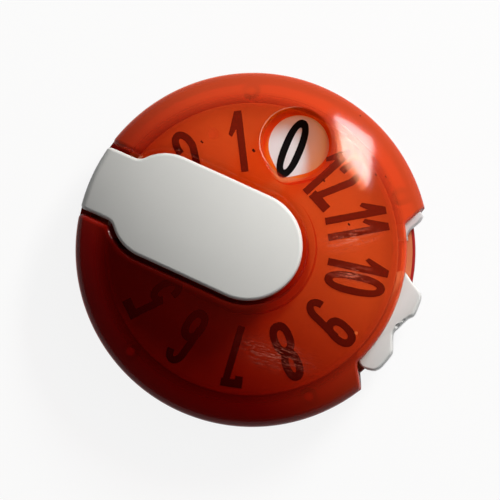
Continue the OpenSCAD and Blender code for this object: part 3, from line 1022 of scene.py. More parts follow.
@dataclass(frozen=True)
class Finishes:
    """Every finish of the counter."""

    cover: ClearPlastic = ClearPlastic(
        "clear_orange",
        tint=(0.995, 0.60, 0.37),
        scatter=(0.85, 0.07, 0.026),
        # painted shade on the side away from the lamp
        painted_shade_tint=(0.68, 0.22, 0.12),
        painted_shade_scatter=(0.5, 0.002, 0.001),
        body=0.10,
        rim_body=0.36,
        rim_scatter=(0.97, 0.105, 0.028),
        specks=(
            Speck(-4.24, 10.51, 0.14),
            Speck(4.75, 10.75, 0.1),
            Speck(9.57, 7.3, 0.1),
            Speck(-10.33, 8.94, 0.1),
            Speck(9.81, 14.04, 0.08),
            Speck(10.95, 14.31, 0.06),
            Speck(4.6, 17.0, 0.08),
            Speck(5.14, 19.67, 0.07),
            Speck(15.66, -3.89, 0.18, (0.9, 0.2, 0.05), 0.8),
            Speck(-9.5, 10.4, 0.55, (0.4, 0.03, 0.01), 0.22, 0.4),
        ),
        scratches=(
            ScratchPatch(10.6, 5.9, 3.4, 38.0),
            ScratchPatch(12.4, 2.2, 2.6, 20.0),
            ScratchPatch(8.2, -10.2, 4.6, 11.0),
        ),
        # painted glow in the window's wall
        glow=Speck(-0.3, 13.6, 4.1, (0.98, 0.25, 0.02)),
    )
    base: ClearPlastic = ClearPlastic(
        "clear_red_base",
        tint=(0.99, 0.55, 0.38),
        scatter=(0.76, 0.22, 0.098),
        # painted shade on the side away from the lamp
        painted_shade_tint=(0.68, 0.22, 0.12),
        painted_shade_scatter=(0.3, 0.01, 0.004),
        rim_scatter=(0.36, 0.012, 0.014),
        rim=(18.84, 18.9),
        body=0.85,
        rim_body=0.05,
        roughness=0.16,
    )
    key: MouldedPlastic = MouldedPlastic(
        "white_key", colour=(0.78, 0.79, 0.77), shade=(0.75, 0.76, 0.74), roughness=0.4, shine=0.25
    )
    lever: MouldedPlastic = MouldedPlastic(
        "white_lever", colour=(0.74, 0.75, 0.74), shade=(0.7, 0.71, 0.7), roughness=0.42, shine=0.3
    )
    plate: MouldedPlastic = MouldedPlastic(
        "white_plate", colour=(0.76, 0.73, 0.74), shade=(0.7, 0.67, 0.68), roughness=0.36
    )
    dial: MouldedPlastic = MouldedPlastic(
        "white_dial", colour=(0.8, 0.78, 0.79), shade=(0.76, 0.74, 0.75), roughness=0.45
    )
    pawl: MouldedPlastic = MouldedPlastic(
        "pale_pawl", colour=(0.7, 0.7, 0.66), shade=(0.64, 0.64, 0.6), roughness=0.35
    )
    ink: PrintedInk = PrintedInk("black_ink")
    steel: TurnedMetal = TurnedMetal("bright_steel")
    screw: TurnedMetal = TurnedMetal("zinc_screw", (0.5, 0.51, 0.52), (0.33, 0.34, 0.35), 0.34)
    spring: TurnedMetal = TurnedMetal("spring_steel", (0.5, 0.5, 0.52), (0.36, 0.36, 0.38), 0.24)


@dataclass(frozen=True)
class CaseShape:
    """Outer shape of the closed case: a ball, rounded into an upright rim."""

    case_r: float
    seam: float
    flat_r: float
    crown: float
    dome_r: float = 36.0
    rim_round: float = 2.0

    @classmethod
    def of_frame(cls) -> CaseShape:
        """Reads the case's sizes from the frame's own nodes.

        Returns:
            The shape.
        """
        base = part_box("base_shell")[1]
        case_r, seam = round(base.y / MM, 2), base.z / MM
        return cls(case_r, round(seam, 2), case_r - seam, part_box("reset_key")[1].z / MM)

    @property
    def ball_z(self) -> float:
        """Height of the ball's centre."""
        return self.crown - self.dome_r

    @property
    def rim_at(self) -> float:
        """Radius on which the rim's rounding is centred."""
        return self.case_r - self.rim_round

    @property
    def rim_z(self) -> float:
        """Height on which the rim's rounding is centred."""
        return self.ball_z + math.sqrt((self.dome_r - self.rim_round) ** 2 - self.rim_at**2)

    @property
    def lean(self) -> float:
        """Angle from upright of the surface where ball and rounding meet, in degrees."""
        return math.degrees(math.asin(self.rim_at / (self.dome_r - self.rim_round)))

    def height(self, radius: float, inset: float = 0.0) -> float:
        """Height of the surface, set in by inset, over a plan radius.

        Args:
            radius: Distance from the axis.
            inset: Distance in from the outer surface.

        Returns:
            The height.
        """
        rounding = self.rim_round - inset
        if radius <= self.rim_at + rounding * math.sin(math.radians(self.lean)):
            return self.ball_z + math.sqrt((self.dome_r - inset) ** 2 - radius**2)
        out = min(radius - self.rim_at, rounding)
        return self.rim_z + math.sqrt(rounding**2 - out**2)

    def at_angle(self, angle: float, inset: float = 0.0) -> Plan:
        """Radius and height of the point, set in by inset, whose surface leans by angle.

        Args:
            angle: Lean in degrees, 0 at the pole and 90 at the rim.
            inset: Distance in from the outer surface.

        Returns:
            Radius and height.
        """
        if angle <= self.lean:
            across, up = polar(self.dome_r - inset, 90 - angle)
            return across, self.ball_z + up
        across, up = polar(self.rim_round - inset, 90 - angle)
        return self.rim_at + across, self.rim_z + up

    def section(self, inset: float, low: float) -> list[Plan]:
        """Half section of the dome, set in by inset, from its pole out and down to a height."""
        angles = steps_between(0, self.lean, 44) + steps_between(self.lean, 90, 10)[1:]
        return [self.at_angle(a, inset) for a in angles] + [(self.case_r - inset, low)]

    def surfaces(self, inset: float) -> list[TurnedArc | UprightWall]:
        """The true surfaces of the dome, set in by inset.

        Args:
            inset: Distance in from the outer surface.

        Returns:
            The ball, the rounding of the rim and the upright wall.
        """
        return [
            TurnedArc(0.0, self.ball_z, self.dome_r - inset),
            TurnedArc(self.rim_at, self.rim_z, self.rim_round - inset),
            UprightWall(self.case_r - inset),
        ]

    def solid(self, name: str, inset: float, low: float) -> Piece:
        """The dome as a full solid, set in by inset, down to a height."""
        return lathe(name, [*self.section(inset, low), (0.0, low)])


@dataclass(frozen=True)
class EdgeBand:
    """Cutter that rounds the edge between an upright wall and the case's outer surface."""

    case: CaseShape
    radius: float
    steps: int = 6

    def section(self) -> list[Plan]:
        """Points (distance from the wall, depth under the surface) round the section.

        Returns:
            The points, down the rounding and round its back.
        """
        r = self.radius
        angles = [math.radians(a) for a in steps_between(2, 87, self.steps)]
        curve = [(r - r * math.cos(a), r - r * math.sin(a)) for a in angles]
        foot = r + 0.02
        return [(-0.3, foot), (-0.004, foot), *curve, (r + 0.2, -0.5), (-0.3, -0.5)]

    def on_dome(self, point: Plan, normal: Plan) -> list[Point]:
        """Ring of the cutter over a plan point.

        Args:
            point: Point of the outline.
            normal: Direction from the wall towards what is rounded.

        Returns:
            The ring's points.
        """
        ring: list[Point] = []
        for out, depth in self.section():
            x, y = moved(point, normal, out)
            ring.append((x, y, self.case.height(math.hypot(x, y), depth)))
        return ring

    def over_rim(
        self, start: Plan, ahead: Plan, normal: Plan, angle: float, drop: float = 0.0
    ) -> list[Point]:
        """Ring of the cutter where a straight wall runs over the rim and down the side.

        Args:
            start: A plan point on the wall.
            ahead: Direction of the wall, outwards.
            normal: Direction from the wall towards what is rounded.
            angle: Lean of the case's surface at the ring.
            drop: Distance below the end of the rim's rounding.

        Returns:
            The ring's points.
        """
        ring: list[Point] = []
        for out, depth in self.section():
            radius, z = self.case.at_angle(angle, depth)
            foot = moved(start, normal, out)
            ring.append((*moved(foot, ahead, reach_along(foot, ahead, radius)), z - drop))
        return ring

    def along(self, path: Sequence[Plan], side: float, closed: bool) -> list[list[Point]]:
        """Rings over a path on the dome, towards its right side (1) or its left (-1)."""
        normals = side_normals(path, side, closed)
        return [self.on_dome(point, normal) for point, normal in zip(path, normals)]

    def rim_rings(self, start: Plan, ahead: Plan, normal: Plan, first: float) -> list[list[Point]]:
        """Rings from the lean first over the rim and down the side.

        Args:
            start: A plan point on the wall.
            ahead: Direction of the wall, outwards.
            normal: Direction from the wall towards what is rounded.
            first: Lean of the surface at the first ring.

        Returns:
            The rings, from the dome outwards.
        """
        lean = self.case.lean
        angles = steps_between(first, lean, 3)[:-1] + steps_between(lean, 90, 9)
        rings = [self.over_rim(start, ahead, normal, a) for a in angles]
        for drop in steps_between(0, self.case.rim_z - BAND_LOW, 3)[1:]:
            rings.append(self.over_rim(start, ahead, normal, 90, drop))
        return rings

    def through_rim(
        self, path: Sequence[Plan], side: float, ends: Sequence[Sequence[Plan]], lean: float
    ) -> Piece:
        """Cutter along a path that runs over the rim at both ends.

        Args:
            path: The path on the dome.
            side: 1 where the right-hand side of the path is rounded, -1 for the left.
            ends: Start, direction and normal of the wall past each end.
            lean: Lean of the surface where the path meets those walls.

        Returns:
            The cutter.
        """
        lower, upper = (self.rim_rings(*end, lean) for end in ends)
        rings = [*reversed(lower), *self.along(path, side, False), *upper]
        return Solid("edge_cutter").skin(rings)


def reach_along(start: Plan, ahead: Plan, radius: float) -> float:
    """Distance from a point along a direction to a circle about the origin.

    Args:
        start: The point.
        ahead: The direction.
        radius: Radius of the circle.

    Returns:
        The distance.
    """
    b = start[0] * ahead[0] + start[1] * ahead[1]
    c = start[0] ** 2 + start[1] ** 2 - radius**2
    return -b + math.sqrt(b * b - c)


def side_normals(path: Sequence[Plan], side: float, closed: bool) -> list[Plan]:
    """Unit normals along a path.

    Args:
        path: The path's points.
        side: 1 for the right-hand side of the path, -1 for the left.
        closed: Whether the path is a ring.

    Returns:
        One normal for each point.
    """
    count = len(path)
    normals: list[Plan] = []
    for i in range(count):
        before = path[(i - 1) % count] if closed else path[max(i - 1, 0)]
        after = path[(i + 1) % count] if closed else path[min(i + 1, count - 1)]
        run = (after[0] - before[0], after[1] - before[1])
        length = math.hypot(*run) * side
        normals.append((run[1] / length, -run[0] / length))
    return normals


def softened(outline: Sequence[Plan], reach: float, steps: int = 4) -> list[Plan]:
    """Rounds the corners of a closed outline.

    Args:
        outline: The corners.
        reach: How far from a corner the rounding starts.
        steps: Chords of each rounding.

    Returns:
        The softer outline.
    """
    count = len(outline)
    soft: list[Plan] = []
    for i, corner in enumerate(outline):
        ends: list[Plan] = []
        for other in (outline[i - 1], outline[(i + 1) % count]):
            length = math.dist(corner, other)
            ends.append(towards(corner, other, min(reach, length * 0.45) / length))
        for t in steps_between(0, 1, steps):
            a, b, c = (1 - t) ** 2, 2 * t * (1 - t), t * t
            x, y = (a * p + b * q + c * r for p, q, r in zip(ends[0], corner, ends[1]))
            soft.append((x, y))
    return soft


@dataclass(frozen=True)
class KeyOutline:
    """Plan of the reset key: a neck at the rim, two shoulders and a round pad."""

    width: float = 12.8
    neck: float = 8.0
    shoulder_at: float = 16.9
    shoulder_len: float = 5.4
    inner_least: float = 1.55
    inner_share: float = 0.22
    past_rim: float = 22.5
    rim_lean: float = 29.8

    def edge(self, grow: float) -> list[Plan]:
        """Upper half of the outline, from the neck to the pad's far end.

        Args:
            grow: How far the outline is moved out.

        Returns:
            The edge's points.
        """
        rise = (self.width - self.neck) / 2
        turn = 2 * math.degrees(math.atan(rise / self.shoulder_len))
        total = self.shoulder_len / math.sin(math.radians(turn))
        inner_r = max(total * self.inner_share, self.inner_least)
        outer_r = total - inner_r
        first = arc(
            (-self.shoulder_at, self.neck / 2 + inner_r), inner_r - grow, -90, -90 + turn, 12
        )
        second = arc(
            (-self.shoulder_at + self.shoulder_len, self.width / 2 - outer_r),
            outer_r + grow,
            90 + turn,
            90,
            12,
        )
        end = arc((0.0, 0.0), self.width / 2 + grow, 90, 0, 40)
        return [*first, *second, *between(second[-1], end[0], 26), *end]

    def path(self, grow: float) -> list[Plan]:
        """Outline from the lower side of the neck round the pad to its upper side.

        Args:
            grow: How far the outline is moved out.

        Returns:
            The path's points.
        """
        upper = self.edge(grow)
        lower = [(x, -y) for x, y in upper]
        return [*lower, *reversed(upper[:-1])]

    def plan(self, grow: float) -> list[Plan]:
        """Closed outline that runs out through the rim."""
        side = self.neck / 2 + grow
        return [(-self.past_rim, -side), *self.path(grow), (-self.past_rim, side)]

    def band(self, band: EdgeBand, grow: float, outwards: bool) -> Piece:
        """Cutter that rounds the edge along this outline.

        Args:
            band: The rounding.
            grow: How far the outline is moved out.
            outwards: Whether what lies outside the outline is rounded.

        Returns:
            The cutter.
        """
        side = 1.0 if outwards else -1.0
        y = self.neck / 2 + grow
        ends = [((0.0, way * y), (-1.0, 0.0), (0.0, way * side)) for way in (-1.0, 1.0)]
        return band.through_rim(self.path(grow), side, ends, self.rim_lean)


@dataclass(frozen=True)
class WindowOutline:
    """Teardrop window: a wide and a narrow round end (x, y, radius) and their tangents."""

    low_wide: Point = (-0.02, 13.45, 3.58)
    low_tip: Point = (-0.1, 11.15, 1.75)
    high_wide: Point = (-0.3, 13.6, 4.13)
    high_tip: Point = (-0.35, 11.2, 2.25)
    low: float = 7.0
    past: Plan = (6.6, 15.0)

    def teardrop(self, wide: Point, tip: Point, grow: float) -> list[Plan]:
        """Closed outline round two circles, moved out by grow.

        Args:
            wide: The wide end.
            tip: The narrow end.
            grow: How far the outline is moved out.

        Returns:
            The outline.
        """
        run = (wide[0] - tip[0], wide[1] - tip[1])
        way = math.degrees(math.atan2(run[1], run[0]))
        lean = math.degrees(math.acos((wide[2] - tip[2]) / math.hypot(*run)))
        start = way - 180 + lean
        large = arc(wide[:2], wide[2] + grow, start, start + 360 - 2 * lean, 72)
        small = arc(tip[:2], tip[2] + grow, start - 2 * lean, start, 24)
        return [*large, *between(large[-1], small[0], 5), *small, *between(small[-1], large[0], 5)]

    def plan(self, grow: float) -> list[Plan]:
        """Closed outline of the opening's lower edge, moved out by grow."""
        return self.teardrop(self.low_wide, self.low_tip, grow)

    def upper(self) -> list[Plan]:
        """Closed outline of the opening's edge on the dome."""
        return self.teardrop(self.high_wide, self.high_tip, 0.0)

    def opening(self, case: CaseShape) -> Piece:
        """Cutter of the opening, whose wall leans outwards up to the dome.

        Args:
            case: The case's outer shape.

        Returns:
            The cutter.
        """
        low, high = self.plan(0.0), self.upper()
        rings = [
            [(x, y, self.past[0]) for x, y in low],
            [(x, y, self.low) for x, y in low],
            [(x, y, case.height(math.hypot(x, y))) for x, y in high],
            [(x, y, self.past[1]) for x, y in high],
        ]
        return Solid("window_cutter").skin(rings)

    def band(self, band: EdgeBand) -> Piece:
        """Cutter that rounds the opening's upper edge."""
        return Solid("edge_cutter").skin(band.along(self.upper(), 1.0, True), True)


@dataclass(frozen=True)
class SlotOutline:
    """The slot in the rim that the lever's grip moves in."""

    cap_r: float = 18.4
    low: tuple[float, float] = (-22.4, -27.4)
    high: tuple[float, float] = (34.0, 38.3)
    rim_r: float = 21.0
    past_rim: Plan = (26.0, 30.0)
    corner: float = 0.4
    rim_lean: float = 32.6

    def ends(self) -> tuple[tuple[Plan, Plan], tuple[Plan, Plan]]:
        """Corner and outward direction of the lower and of the upper end.

        Returns:
            The two ends, each with its corner and its direction.
        """
        found: list[tuple[Plan, Plan]] = []
        for at_cap, at_rim in (self.low, self.high):
            inner, outer = polar(self.cap_r, at_cap), polar(self.rim_r, at_rim)
            length = math.dist(inner, outer)
            ahead = ((outer[0] - inner[0]) / length, (outer[1] - inner[1]) / length)
            found.append((inner, ahead))
        return found[0], found[1]

    def plan(self, radius: float) -> list[Plan]:
        """Closed outline of the slot, in to a radius.

        Args:
            radius: Radius of the inner edge.

        Returns:
            The outline.
        """
        points: list[Plan] = []
        angles: list[float] = []
        for corner, ahead in self.ends():
            for reach in (self.past_rim[0], radius):
                points.append(moved(corner, ahead, reach_along(corner, ahead, reach)))
            angles.append(math.degrees(math.atan2(points[-1][1], points[-1][0])))
        inner = arc((0.0, 0.0), radius, angles[0], angles[1], 40)
        edge = self.corners(inner, points[0], points[2])
        return [points[0], *edge, points[2], (self.past_rim[1], 0.0)]

    def corners(self, inner: Sequence[Plan], first: Plan, last: Plan) -> list[Plan]:
        """The inner edge with its two corners rounded towards the points first and last."""
        ring = softened([first, inner[0], inner[4], inner[-5], inner[-1], last], self.corner, 4)
        return [*ring[5:10], *inner[1:-1], *ring[20:25]]

    def band(self, band: EdgeBand) -> Piece:
        """Cutter that rounds the edge of the cover along the slot.

        Args:
            band: The rounding.

        Returns:
            The cutter.
        """
        (low_at, low), (high_at, high) = self.ends()
        ends = [(low_at, low, (low[1], -low[0])), (high_at, high, (-high[1], high[0]))]
        return band.through_rim(self.plan(self.cap_r)[1:-2], -1.0, ends, self.rim_lean)


@dataclass
class Cover(Moulding):
    """Clear cover with the key's well, the window's skirt, the slot and four screw bosses."""

    slot_name = "cover_plastic"
    node = "top_cover"
    case: CaseShape
    key: KeyOutline
    window: WindowOutline
    slot: SlotOutline
    wall: float = 1.5
    gap: float = 0.45
    well_wall: float = 1.0
    well_z: float = 7.45
    well_top: float = 8.05
    skirt_z: float = 7.0
    skirt_wall: float = 0.9
    clear_z: float = 6.65
    ball_under_key: float = 34.4
    hub_hole_r: float = 3.4
    boss_r: float = 1.1
    screw_r: float = 0.5
    post_at: float = 6.22
    post_r: float = 0.5
    post_z: float = 8.7
    post_len: float = 2.1
    well_round: float = 0.75
    window_round: float = 0.12
    slot_round: float = 0.3

    def shell(self) -> Piece:
        """The hollow dome.

        Returns:
            The dome, in millimetres.
        """
        low, r, soft = self.case.seam, self.case.case_r, SEAM_ROUND
        outer = self.case.section(0.0, low + soft)
        inner = self.case.section(self.wall, low)
        lip = [(r - soft * 0.3, low + soft * 0.3), (r - soft, low)]
        return lathe("top_cover_moulding", [*outer, *lip, *reversed(inner)], CASE_STEPS)

    def inner_walls(self) -> Piece:
        """The well's block, the window's skirt and the screw bosses, kept inside the wall.

        Returns:
            The walls as one solid.
        """
        block = prism("well_block", self.key.plan(self.gap + self.well_wall), self.well_z, ABOVE)
        skirt = prism("skirt", self.window.plan(self.skirt_wall), self.skirt_z, ABOVE)
        shape(block, Join.ADD, skirt, *screw_bars("boss", 12.5, self.boss_r, 15.0))
        shape(block, Join.TRIM, self.case.solid("inside", self.wall * 0.5, self.case.seam))
        return block

    def well(self) -> Piece:
        """Cutter of the key's well, whose floor follows the key's underside near the rim.

        Returns:
            The cutter.
        """
        floor = prism("well_floor", self.key.plan(self.gap), self.well_top, ABOVE)
        sloped = prism("well_slope", self.key.plan(self.gap), self.clear_z, ABOVE)
        ball = [polar(self.ball_under_key, a) for a in steps_between(90, 0, 60)]
        profile = [(max(x, 0.0), y + self.case.ball_z) for x, y in ball]
        profile[0] = (0.0, profile[0][1])
        shape(sloped, Join.CUT, lathe("ball", [*profile, (0.0, self.case.ball_z)], 160))
        side = self.key.neck / 2 + self.gap
        at = self.key.shoulder_at
        plan = [(-OUTSIDE, -side), (-at, -side), (-at, side), (-OUTSIDE, side)]
        neck = prism("neck", plan, 0.0, ABOVE)
        shape(floor, Join.ADD, sloped, neck)
        return floor

    def build(self) -> Piece:
        """Builds the cover's mesh.

        Returns:
            The cover, in millimetres.
        """
        cover = self.shell()
        shape(cover, Join.ADD, self.inner_walls())
        shape(cover, Join.CUT, self.well())
        shape(
            cover,
            Join.CUT,
            round_bar("hub_hole", (0, 0, 9.0), self.hub_hole_r, 12.0, 96),
            self.window.opening(self.case),
            prism("slot", self.slot.plan(self.slot.cap_r), 0.0, 16.0),
            *screw_bars("hole", 4.0, self.screw_r, 6.0),
        )
        shape(
            cover,
            Join.CUT,
            self.key.band(EdgeBand(self.case, self.well_round), self.gap, True),
            self.window.band(EdgeBand(self.case, self.window_round)),
            self.slot.band(EdgeBand(self.case, self.slot_round)),
        )
        post = (0, self.post_at, self.post_z)
        shape(cover, Join.ADD, round_bar("post", post, self.post_r, self.post_len))
        surfaces = [*self.case.surfaces(0.0), *self.case.surfaces(self.wall)]
        smooth_shading(cover.data, 30.0, surfaces)
        return cover


@dataclass
class BaseShell(Moulding):
    """Shallow base whose rounded side carries the ledge of the lever's slot."""

    slot_name = "base_plastic"
    node = "base_shell"
    case: CaseShape
    slot: SlotOutline
    wall: float = 1.3
    ledge_z: float = 2.2
    ledge_in: float = 17.0
    ledge_out: float = 19.2
    fill_in: float = 17.6
    ledge_round: float = 0.35
    pillar_r: float = 1.2
    hole_r: float = 0.55
    recess_r: float = 1.0
    recess_top: float = 2.15
    axle_r: float = 1.0
    axle_seat: float = 0.4

    def section(self, inset: float) -> list[Plan]:
        """Half section of the base, set in by inset, from its axis to the seam."""
        centre = (self.case.flat_r, self.case.seam)
        return [(0.0, inset), *arc(centre, self.case.seam - inset, -90, 0, 20)]

    def ledge_rim(self) -> Piece:
        """Cutter that sets the ledge back from the rim and rounds its edge.

        Returns:
            The cutter.
        """
        at, top, soft = self.ledge_out, self.ledge_z, self.ledge_round
        curve = arc((at - soft, top - soft), soft, 90, 0, 6)
        low, high = -0.5, top + 1.0
        back = [(at, low), (OUTSIDE, low), (OUTSIDE, high), (at - soft, high)]
        rim = lathe("ledge_rim", [*curve, *back], CASE_STEPS)
        shape(rim, Join.TRIM, prism("ledge_sector", self.slot.plan(self.ledge_in), -1.0, 12.0))
        return rim

    def build(self) -> Piece:
        """Builds the base's mesh.

        Returns:
            The base, in millimetres.
        """
        outer, inner = self.section(0.0), self.section(self.wall)
        r, seam, soft = self.case.case_r, self.case.seam, SEAM_ROUND
        lip = [(r - soft * 0.3, seam - soft * 0.3), (r - soft, seam)]
        outer[-1] = (r, seam - soft)
        base = lathe("base_moulding", [*outer, *lip, *reversed(inner)], CASE_STEPS)
        pillars = screw_bars("pillar", 2.0, self.pillar_r, 6.0)
        shape(pillars[0], Join.ADD, *pillars[1:])
        inside = [*self.section(self.wall * 0.5), (0.0, seam)]
        shape(pillars[0], Join.TRIM, lathe("inside", inside))
        fill = prism("ledge_fill", self.slot.plan(self.fill_in), 1.0, self.ledge_z)
        shape(fill, Join.TRIM, lathe("inside", inside))
        shape(base, Join.ADD, pillars[0], fill)
        holes = screw_bars("hole", 3.0, self.hole_r, 9.0)
        recesses = screw_bars("recess", self.recess_top - 2.0, self.recess_r, 4.0)
        openings = [bar for pair in zip(holes, recesses) for bar in pair]
        seat = round_bar("seat", (0, 0, self.axle_seat + 2.0), self.axle_r, 4.0)
        ledge = prism("ledge", self.slot.plan(self.ledge_in), self.ledge_z, 12.0)
        shape(base, Join.CUT, ledge, self.ledge_rim(), seat, *openings)
        flat_r = self.case.flat_r
        surfaces = [TurnedArc(flat_r, seam, seam), TurnedArc(flat_r, seam, seam - self.wall)]
        smooth_shading(base.data, 30.0, surfaces)
        return base


@dataclass
class ResetKey(Moulding):
    """Wide white key that follows the dome, with a knuckle at the rim and a stud beneath."""

    body = Body.KEY
    slot_name = "key_plastic"
    node = "reset_key"
    case: CaseShape
    outline: KeyOutline
    thick: float = 1.3
    low: float = 5.05
    edge: float = 0.4
    hinge_x: float = 18.3
    hinge_z: float = 5.4
    knuckle_r: float = 0.85
    knuckle_half: float = 2.75
    pin_hole_r: float = 0.5
    stud_r: float = 1.6
    stud_z: Plan = (10.45, 12.6)

    def knuckle(self) -> Piece:
        """The knuckle that the hinge pin runs through.

        Returns:
            The knuckle, in millimetres.
        """
        r, x = self.knuckle_r, -self.hinge_x
        half = [(x + r, 16.0), *arc((x, self.hinge_z), r, 0, -180, 24), (x - r, 16.0)]
        sides = (-self.knuckle_half, self.knuckle_half)
        made = Solid("knuckle").skin([(px, y, pz) for px, pz in half] for y in sides)
        shape(made, Join.TRIM, self.case.solid("inside", self.thick / 2, 0.0))
        return made

    def build(self) -> Piece:
        """Builds the key's mesh.

        Returns:
            The key, in millimetres.
        """
        outer = self.case.section(0.0, self.low)
        inner = self.case.section(self.thick, self.low)
        key = lathe("reset_key_moulding", [*outer, *reversed(inner)], CASE_STEPS)
        shape(key, Join.TRIM, prism("key_plan", self.outline.plan(0.0), 0.0, ABOVE))
        band = EdgeBand(self.case, self.edge)
        shape(key, Join.CUT, self.outline.band(band, 0.0, False))
        low, high = self.stud_z
        stud = round_bar("stud", (0, 0, (low + high) / 2), self.stud_r, high - low)
        shape(key, Join.ADD, self.knuckle(), stud)
        centre = (-self.hinge_x, 0, self.hinge_z)
        hole = round_bar("pin_hole", centre, self.pin_hole_r, 14.0, axis=Vector((0, 1, 0)))
        shape(key, Join.CUT, hole)
        surfaces = [*self.case.surfaces(0.0), *self.case.surfaces(self.thick)]
        smooth_shading(key.data, 32.0, surfaces)
        return key


@dataclass
class CountLever(Moulding):
    """Lever whose finger grip shows in the slot, in a frame turned a little from +X."""

    body = Body.LEVER
    slot_name = "lever_plastic"
    node = "count_lever"
    case: CaseShape
    low: float = 2.4
    thick: float = 1.1
    grip_h: float = 3.8
    pivot_r: float = 1.0
    eye: Plan = (6.5, 5.5)
    eye_r: float = 0.95
    arm_half: Plan = (1.8, 0.9)
    rivet_r: float = 0.45
    deck_z: float = 3.65
    peg_top: float = 4.35
    swing: float = 21.0
    clear_r: float = 17.55
    clear_z: float = 4.5
    grip_in: float = 3.6
    grip_span: Plan = (-25.0, 11.0)
    grip_soft: float = 0.7
    grip_round: float = 0.28
    grip: tuple[Plan, ...] = (
        (12.2, 2.9), (7.8, 1.55), (5.2, 0.32), (3.1, 0.2), (-2.6, 0.28), (-3.7, 0.8),
        (-6.3, 1.2), (-8.6, 1.42), (-10.8, 1.72), (-15.8, 0.55), (-17.0, 0.36), (-22.8, 0.34),
        (-25.2, 0.64), (-26.9, 1.6), (-27.2, 2.3),
    )
    chips: tuple[Point, ...] = (
        (20.5, 0.46, 0.24), (20.1, -0.22, 0.4), (19.84, -0.68, 0.28), (19.66, -1.1, 0.44),
    )

    def grip_plan(self) -> list[Plan]:
        """Outline of the finger grip.

        Returns:
            The outline.
        """
        rim = [polar(self.case.case_r - inset, angle) for angle, inset in self.grip]
        inner_r, steps = self.case.case_r - self.grip_in, 5
        ends = [polar(inner_r, angle) for angle in self.grip_span]
        soft = softened([*rim, *ends], self.grip_soft, steps)
        return [*soft[: len(rim) * (steps + 1)], *arc((0, 0), inner_r, *self.grip_span, 14)]

    def plate_plans(self) -> list[list[Plan]]:
        """Outlines of the arms under the dial.

        Returns:
            One outline for each arm and each round end.
        """
        (px, py), (ex, ey) = LEVER_PIVOT, self.eye
        length = math.hypot(ey - py, px - ex)
        rear = ((ey - py) / length, (px - ex) / length)
        wide, narrow = self.arm_half
        sides = ((LEVER_PIVOT, wide), (self.eye, narrow), (self.eye, -narrow), (LEVER_PIVOT, -wide))
        arm = [moved(point, rear, half) for point, half in sides]
        fan_r = self.case.case_r - self.grip_in + 0.6
        fan = [
            (px, 2.0),
            polar(fan_r, 11),
            polar(self.case.case_r - 1.2, 0),
            polar(fan_r, -24),
            (px, -2.0),
        ]
        round_end = arc(LEVER_PIVOT, self.pivot_r + 1.2, 0, 360, 48)[:-1]
        eye_end = arc(self.eye, self.eye_r, 0, 360, 40)[:-1]
        return [fan, arm, round_end, eye_end]

    def build(self) -> Piece:
        """Builds the lever's mesh.

        Returns:
            The lever, in millimetres.
        """
        top, high = self.low + self.thick, self.low + self.grip_h
        lever = rounded_prism(
            "count_lever_moulding", self.grip_plan(), self.low, high, self.grip_round
        )
        plates = [prism("arm", plan, self.low, top) for plan in self.plate_plans()]
        studs = [
            round_bar(name, (*at, (self.low + end) / 2), radius, end - self.low)
            for name, at, radius, end in (
                ("deck", self.eye, self.eye_r, self.deck_z),
                ("peg", LEVER_PEG, PEG_R, self.peg_top),
            )
        ]
        shape(lever, Join.ADD, *plates, *studs)
        cuts = [
            round_bar("bore", (*LEVER_PIVOT, 4.0), self.pivot_r + 0.05, 9.0),
            round_bar("rivet_hole", (*self.eye, 4.0), self.rivet_r, 9.0),
        ]
        for i in range(3):
            arm = turned_plan((-LEVER_PIVOT[0], 0.0), -self.swing * i / 2)
            centre = (*moved(LEVER_PIVOT, arm, 1.0), self.clear_z + 4.0)
            cuts.append(round_bar("dial_sweep", centre, self.clear_r, 8.0, 192))
        shape(lever, Join.CUT, *cuts)
        lever.data.transform(Matrix.Rotation(math.radians(LEVER_TILT), 4, "Z"))
        shape(lever, Join.CUT, *(ball("chip", (x, y, high), r) for x, y, r in self.chips))
        smooth_shading(lever.data, 38.0)
        return lever


def keep_node(node: str, material: bpy.types.Material) -> None:
    """Gives a node of the frame that stays as it is its material.

    Args:
        node: Name of the node.
        material: Its finish.
    """
    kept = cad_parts[node]
    for i in range(len(kept.data.materials)):
        kept.data.materials[i] = material
    if not kept.data.materials:
        kept.data.materials.append(material)
    log.info("%s keeps its own mesh", node)


def settle_copy(
    node: str, kind: str, edge: float, material: bpy.types.Material, body: Body
) -> None:
    """Hands over a copy of a node's mesh, with its sharp edges rounded, in the node's place.

    Args:
        node: Name of the node.
        kind: What the copy's name ends with.
        edge: Radius of the rounding, in millimetres.
        material: Its finish.
        body: The body that it rides on.
    """
    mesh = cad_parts[node].data.copy()
    mesh.name = f"{node}_{kind}"
    mesh.transform(Matrix.Scale(1 / MM, 4))
    least = math.radians(COPY_ANGLE)
    with editing(mesh) as work:
        bmesh.ops.remove_doubles(work, verts=work.verts, dist=1e-4)
        bmesh.ops.dissolve_limit(
            work, angle_limit=math.radians(1.0), verts=work.verts, edges=work.edges
        )
        sharp = [e for e in work.edges if e.is_manifold and e.calc_face_angle() > least]
        round_edges(work, sharp, edge, 2, miter_outer="ARC")
    smooth_shading(mesh, 32.0)
    settle(add_object(mesh.name, mesh), material, body, [node])


